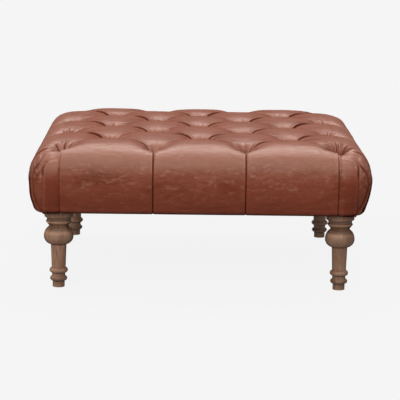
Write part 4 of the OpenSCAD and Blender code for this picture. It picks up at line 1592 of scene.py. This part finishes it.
def bolt_hole(bm, x, y):
    """Opens the cloth round a bolt: the squares there go, and a round rim is bridged in."""
    place = Vector((x, y, 0))
    near = [f for f in bm.faces if (f.calc_center_median() - place).xy.length < 11 * MM]
    bmesh.ops.delete(bm, geom=near, context="FACES")
    square = [e for e in bm.edges if e.is_boundary and (e.verts[0].co - place).xy.length < 24 * MM]
    ring = bmesh.ops.create_circle(bm, segments=HOLE_STEPS, radius=BOLT_HOLE,
                                   matrix=Matrix.Translation(place))
    rim = list({e for v in ring["verts"] for e in v.link_edges})
    bmesh.ops.bridge_loops(bm, edges=square + rim)


def turn_in_edges(bm):
    """A second layer along the outer edges, folded in over the first."""
    outer = [e for e in bm.edges if e.is_boundary and
             max(abs(c) for v in e.verts for c in v.co.xy) > CLOTH_HALF - MM]
    limit = CLOTH_HALF - CLOTH_TURN
    for vert in bmesh.ops.extrude_edge_only(bm, edges=outer)["geom"]:
        if isinstance(vert, bmesh.types.BMVert):
            vert.co.x = min(max(vert.co.x, -limit), limit)
            vert.co.y = min(max(vert.co.y, -limit), limit)
            vert.co.z = 2 * CLOTH_THICK


# %% Dust cloth
CLOTH_CELLS = 96
CLOTH_CORNER = 22 * MM
CLOTH_SAG = 2.5 * MM


def round_and_sag(vert):
    """Rounds the cloth's corners, and lets it hang a little inside the rails."""
    past = [max(abs(c) - (CLOTH_HALF - CLOTH_CORNER), 0) for c in vert.co.xy]
    if min(past) > 0:
        pull = 1 - max(past) / math.hypot(*past)
        vert.co.x -= math.copysign(past[0] * pull, vert.co.x)
        vert.co.y -= math.copysign(past[1] * pull, vert.co.y)
    inside = [1 - min(abs(c) / (CLOTH_HALF - HEM_IN), 1) ** 2 for c in vert.co.xy]
    ripple = noise.noise(Vector((vert.co.x * 9, vert.co.y * 9, 4))) * MM
    vert.co.z += cloth_low.z + CLOTH_THICK - (CLOTH_SAG + ripple) * inside[0] * inside[1]


def dust_cloth():
    """A square grid with round corners, holes, turned-in edges and a slight sag."""
    bm = bmesh.new()
    bmesh.ops.create_grid(bm, x_segments=CLOTH_CELLS, y_segments=CLOTH_CELLS, size=CLOTH_HALF)
    for x in (-LEG_AT, LEG_AT):
        for y in (-LEG_AT, LEG_AT):
            bolt_hole(bm, x, y)
    turn_in_edges(bm)
    for vert in bm.verts:
        round_and_sag(vert)
    cloth = outward_object(bm, "dust_cloth")
    wall = cloth.modifiers.new("thickness", "SOLIDIFY")
    wall.thickness = CLOTH_THICK
    wall.offset = 0
    apply_modifiers(cloth)
    dress(cloth, CLOTH, ["dust_cover"])
    return cloth


cloth = dust_cloth()

# %% [markdown]
# ### Plated steel
# Staples, screws, bolts and nuts are zinc-plated steel: bright, but dulled unevenly. The same
# mottling as on the leather does this, only much finer, so steel needs no group of its own.

# %% Steel
def steel_material():
    """Zinc-plated steel with a faint cloudiness and fine marks."""
    material, tree, shader = new_material("plated_steel")
    clouds = placed(tree, MOTTLING, {"Vector": object_coordinates(tree), "Base": (0.55, 0.56, 0.58, 1),
                                     "Dark": (0.36, 0.36, 0.37, 1), "Light": (0.70, 0.70, 0.68, 1),
                                     "Scale": 120.0, "Amount": 0.5})
    rough = spread(tree, clouds["Clouds"], 0.3, 0.7, 0.28, 0.5)
    put_finish(tree, shader, clouds["Color"], rough, clouds["Clouds"], 0.2, 0.1 * MM)
    fill(tree, shader, {"Metallic": 1.0})
    return material


STEEL = steel_material()
print("nodes in the steel:", len(STEEL.node_tree.nodes))

# %% [markdown]
# ### Staples
# Staples hold the cloth and the leather's edge up under the rails. Each is a flat bent wire. Its
# outline is one face, extruded by the width of the wire.

# %% Staples
STAPLE_WIDE = 10 * MM
STAPLE_TALL = 8 * MM
WIRE_THICK = 0.7 * MM
WIRE_WIDE = 1.2 * MM
STAPLE_IN = 7 * MM
STAPLE_STEP = 60 * MM
STAPLES_A_SIDE = 13
STAPLE_SHARP = math.radians(30)


def staple(bm, turn, along, out, z):
    """A staple across the edge of the cloth, on one side, crown down."""
    half, thick, tall = STAPLE_WIDE / 2, WIRE_THICK, STAPLE_TALL
    outline = [(-half, 0), (half, 0), (half, tall), (half - thick, tall),
               (half - thick, thick), (thick - half, thick), (thick - half, tall), (-half, tall)]
    verts = [bm.verts.new((x, -WIRE_WIDE / 2, up)) for x, up in outline]
    made = bmesh.ops.extrude_face_region(bm, geom=[bm.faces.new(verts)])["geom"]
    moved = [v for v in made if isinstance(v, bmesh.types.BMVert)]
    bmesh.ops.translate(bm, verts=moved, vec=(0, WIRE_WIDE, 0))
    place = Matrix.Rotation(math.radians(90 * turn), 4, "Z") @ Matrix.Translation((along, -out, z))
    bmesh.ops.transform(bm, matrix=place, verts=verts + moved)


def make_staples():
    """A row of staples under each rail, between the legs."""
    bm = bmesh.new()
    for turn in range(4):
        for n in range(STAPLES_A_SIDE):
            along = (n - (STAPLES_A_SIDE - 1) / 2) * STAPLE_STEP
            staple(bm, turn, along, CLOTH_HALF - STAPLE_IN, cloth_low.z - WIRE_THICK)
    staples = outward_object(bm, "staples")
    dress(staples, STEEL)
    staples.data.set_sharp_from_angle(angle=STAPLE_SHARP)


make_staples()
print("staples:", 4 * STAPLES_A_SIDE)

# %% [markdown]
# ## Foam inside
# The slab and the pads are cut foam. Cut foam has no sharp edge, so each piece is a copy of its
# solid, remeshed evenly and relaxed until its edges are round. The finish is pale yellow, with
# open cells and darker where it has aged.

# %% Foam's finish
def foam_finish():
    """Open-celled foam."""
    material, tree, shader = new_material("cut_foam")
    here = object_coordinates(tree)
    aged = placed(tree, MOTTLING, {"Vector": here, "Base": (0.66, 0.55, 0.25, 1),
                                   "Dark": (0.52, 0.38, 0.14, 1), "Light": (0.74, 0.66, 0.38, 1),
                                   "Scale": 5.0, "Amount": 0.7})
    cells = cells_of(tree, here, 700.0)
    rough = spread(tree, cells, 0.0, 0.7, 0.85, 1.0)
    put_finish(tree, shader, aged["Color"], rough, cells, 0.8, 0.5 * MM)
    return material


FOAM = foam_finish()
print("nodes in the foam:", len(FOAM.node_tree.nodes))

# %% Foam
FOAM_VOXEL = 6 * MM
FOAM_PIECES = ["foam_slab"] + [f"side_pad_{side}" for side in ("front", "back", "left", "right")]
FOAM_PIECES += [f"corner_pad_{end}_{side}" for end in ("front", "back") for side in ("left", "right")]


def softened(node):
    """A foam piece: a merged copy of its solid, remeshed and relaxed."""
    bm = bmesh.new()
    bm.from_mesh(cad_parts[node].data)
    bmesh.ops.remove_doubles(bm, verts=bm.verts, dist=WELD)
    piece = object_of(bm, "cut_" + node)
    even = piece.modifiers.new("even", "REMESH")
    even.mode = "VOXEL"
    even.voxel_size = FOAM_VOXEL
    relaxed = piece.modifiers.new("relaxed", "SMOOTH")
    relaxed.factor = 0.5
    relaxed.iterations = 3
    apply_modifiers(piece)
    dress(piece, FOAM, [node])
    return len(piece.data.polygons)


print("foam faces:", {node: softened(node) for node in FOAM_PIECES})

# %% [markdown]
# ## Finishes of the hidden frame
# The rails, blocks and dowels are planed beech, pale with short darker flecks. The board is
# plywood, whose layers show at its edge. The twine is twisted and waxed, and the toggles and the
# glides under the feet are moulded plastic. Each of these keeps its own mesh.

# %% Beech
BEECH_BASE = (0.46, 0.285, 0.155, 1)
BEECH_LIGHT = (0.56, 0.37, 0.215, 1)
BEECH_FLECK = (0.27, 0.145, 0.07, 1)
GRAIN_TURNS = {"X": (0, math.radians(90), 0), "Y": (math.radians(90), 0, 0)}


def planed(tree, shader, axis, looks, smoothest, roughest):
    """Planed wood with its grain along one axis. Gives back its grain."""
    grain = placed(tree, WOOD_GRAIN, {"Vector": object_coordinates(tree, turn=GRAIN_TURNS[axis]), **looks})
    rough = spread(tree, grain["Figure"], 0.3, 0.7, smoothest, roughest)
    put_finish(tree, shader, grain["Color"], rough, grain["Height"], 0.2, 0.3 * MM)
    return grain


def beech_material(axis):
    """Planed beech with its grain along one axis."""
    material, tree, shader = new_material("beech_along_" + axis.lower())
    looks = {"Base": BEECH_BASE, "Light": BEECH_LIGHT, "Pores": BEECH_FLECK, "Figure Scale": 30.0,
             "Pore Scale": 300.0, "Pore Amount": 0.45}
    planed(tree, shader, axis, looks, 0.5, 0.68)
    return material


BEECH_X, BEECH_Y = beech_material("X"), beech_material("Y")
print("nodes in the beech:", len(BEECH_X.node_tree.nodes))

# %% Plywood
board_low, board_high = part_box("deck_board")
PLY_LAYERS = 9
PLY_CROSSED = (0.24, 0.13, 0.06, 1)


def plywood_material():
    """Veneer on the faces, and layers that cross each other at the edges."""
    material, tree, shader = new_material("plywood")
    looks = {"Base": (0.50, 0.34, 0.19, 1), "Light": (0.62, 0.45, 0.27, 1),
             "Pores": (0.36, 0.22, 0.11, 1), "Figure Scale": 14.0, "Pore Scale": 260.0,
             "Pore Amount": 0.35}
    grain = planed(tree, shader, "Y", looks, 0.6, 0.78)
    height = add_node(tree, "SeparateXYZ", {0: object_coordinates(tree)}).outputs["Z"]
    layer = product(tree, minus(tree, height, board_low.z), PLY_LAYERS / (board_high.z - board_low.z))
    crossed = maths(tree, "ABSOLUTE", maths(tree, "SINE", product(tree, layer, math.pi)))
    facing = add_node(tree, "SeparateXYZ", {0: add_node(tree, "NewGeometry").outputs["Normal"]}).outputs["Z"]
    at_edge = spread(tree, maths(tree, "ABSOLUTE", facing), 0.7, 0.3)
    bands = product(tree, at_edge, spread(tree, crossed, 0.9, 0.2))
    fill(tree, shader, {"Base Color": blended(tree, bands, grain["Color"], PLY_CROSSED)})
    return material


PLYWOOD = plywood_material()
print("layers in the board:", PLY_LAYERS)

# %% Twine and plastic
def twine_material():
    """Waxed twine: its strands wind round it as slanting bands."""
    material, tree, shader = new_material("waxed_twine")
    looks = {"Vector": object_coordinates(tree, (1, 1, 0.55)), "Scale": 190.0, "Distortion": 0.6,
             "Detail": 1.0}
    strands = add_node(tree, "TexWave", looks, bands_direction="DIAGONAL").outputs["Fac"]
    colour = blended(tree, spread(tree, strands, 0.15, 0.8), (0.34, 0.26, 0.15, 1), (0.55, 0.47, 0.32, 1))
    put_finish(tree, shader, colour, spread(tree, strands, 0.0, 1.0, 0.7, 0.55), strands, 0.6, 0.3 * MM)
    return material


def plastic_material():
    """Moulded black plastic with a fine spark texture, scuffed paler in places."""
    material, tree, shader = new_material("moulded_plastic")
    here = object_coordinates(tree)
    scuffs = placed(tree, MOTTLING, {"Vector": here, "Base": (0.022, 0.022, 0.023, 1),
                                     "Dark": (0.014, 0.014, 0.014, 1), "Light": (0.075, 0.073, 0.070, 1),
                                     "Scale": 60.0, "Amount": 0.6})
    rough = spread(tree, scuffs["Clouds"], 0.3, 0.7, 0.42, 0.62)
    spark = noise_value(tree, here, 1800.0, 2.0)
    put_finish(tree, shader, scuffs["Color"], rough, spark, 0.3, 0.1 * MM)
    return material


TWINE, PLASTIC = twine_material(), plastic_material()
print("materials so far:", len(bpy.data.materials))

# %% Put the finishes on the frame's own pieces
FINISHES = {
    "front_rail": BEECH_X, "back_rail": BEECH_X, "left_rail": BEECH_Y, "right_rail": BEECH_Y,
    "cross_rail_left": BEECH_Y, "cross_rail_right": BEECH_Y, "rail_dowels": BEECH_X,
    "deck_board": PLYWOOD, "deck_screws": STEEL, "tee_nuts": STEEL, "hanger_bolts": STEEL,
    "button_twines": TWINE, "twine_toggles": PLASTIC, "foot_glides": PLASTIC,
}
for end in ("front", "back"):
    for side in ("left", "right"):
        FINISHES[f"corner_block_{end}_{side}"] = BEECH_X


def finish_node(node, material):
    """Puts a finish in every material slot of a node of the frame."""
    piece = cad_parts[node]
    for slot in piece.material_slots:
        slot.material = material
    return len(piece.material_slots)


for node, material in FINISHES.items():
    assert finish_node(node, material) > 0, node
print("finishes put on", len(FINISHES), "nodes of the frame")
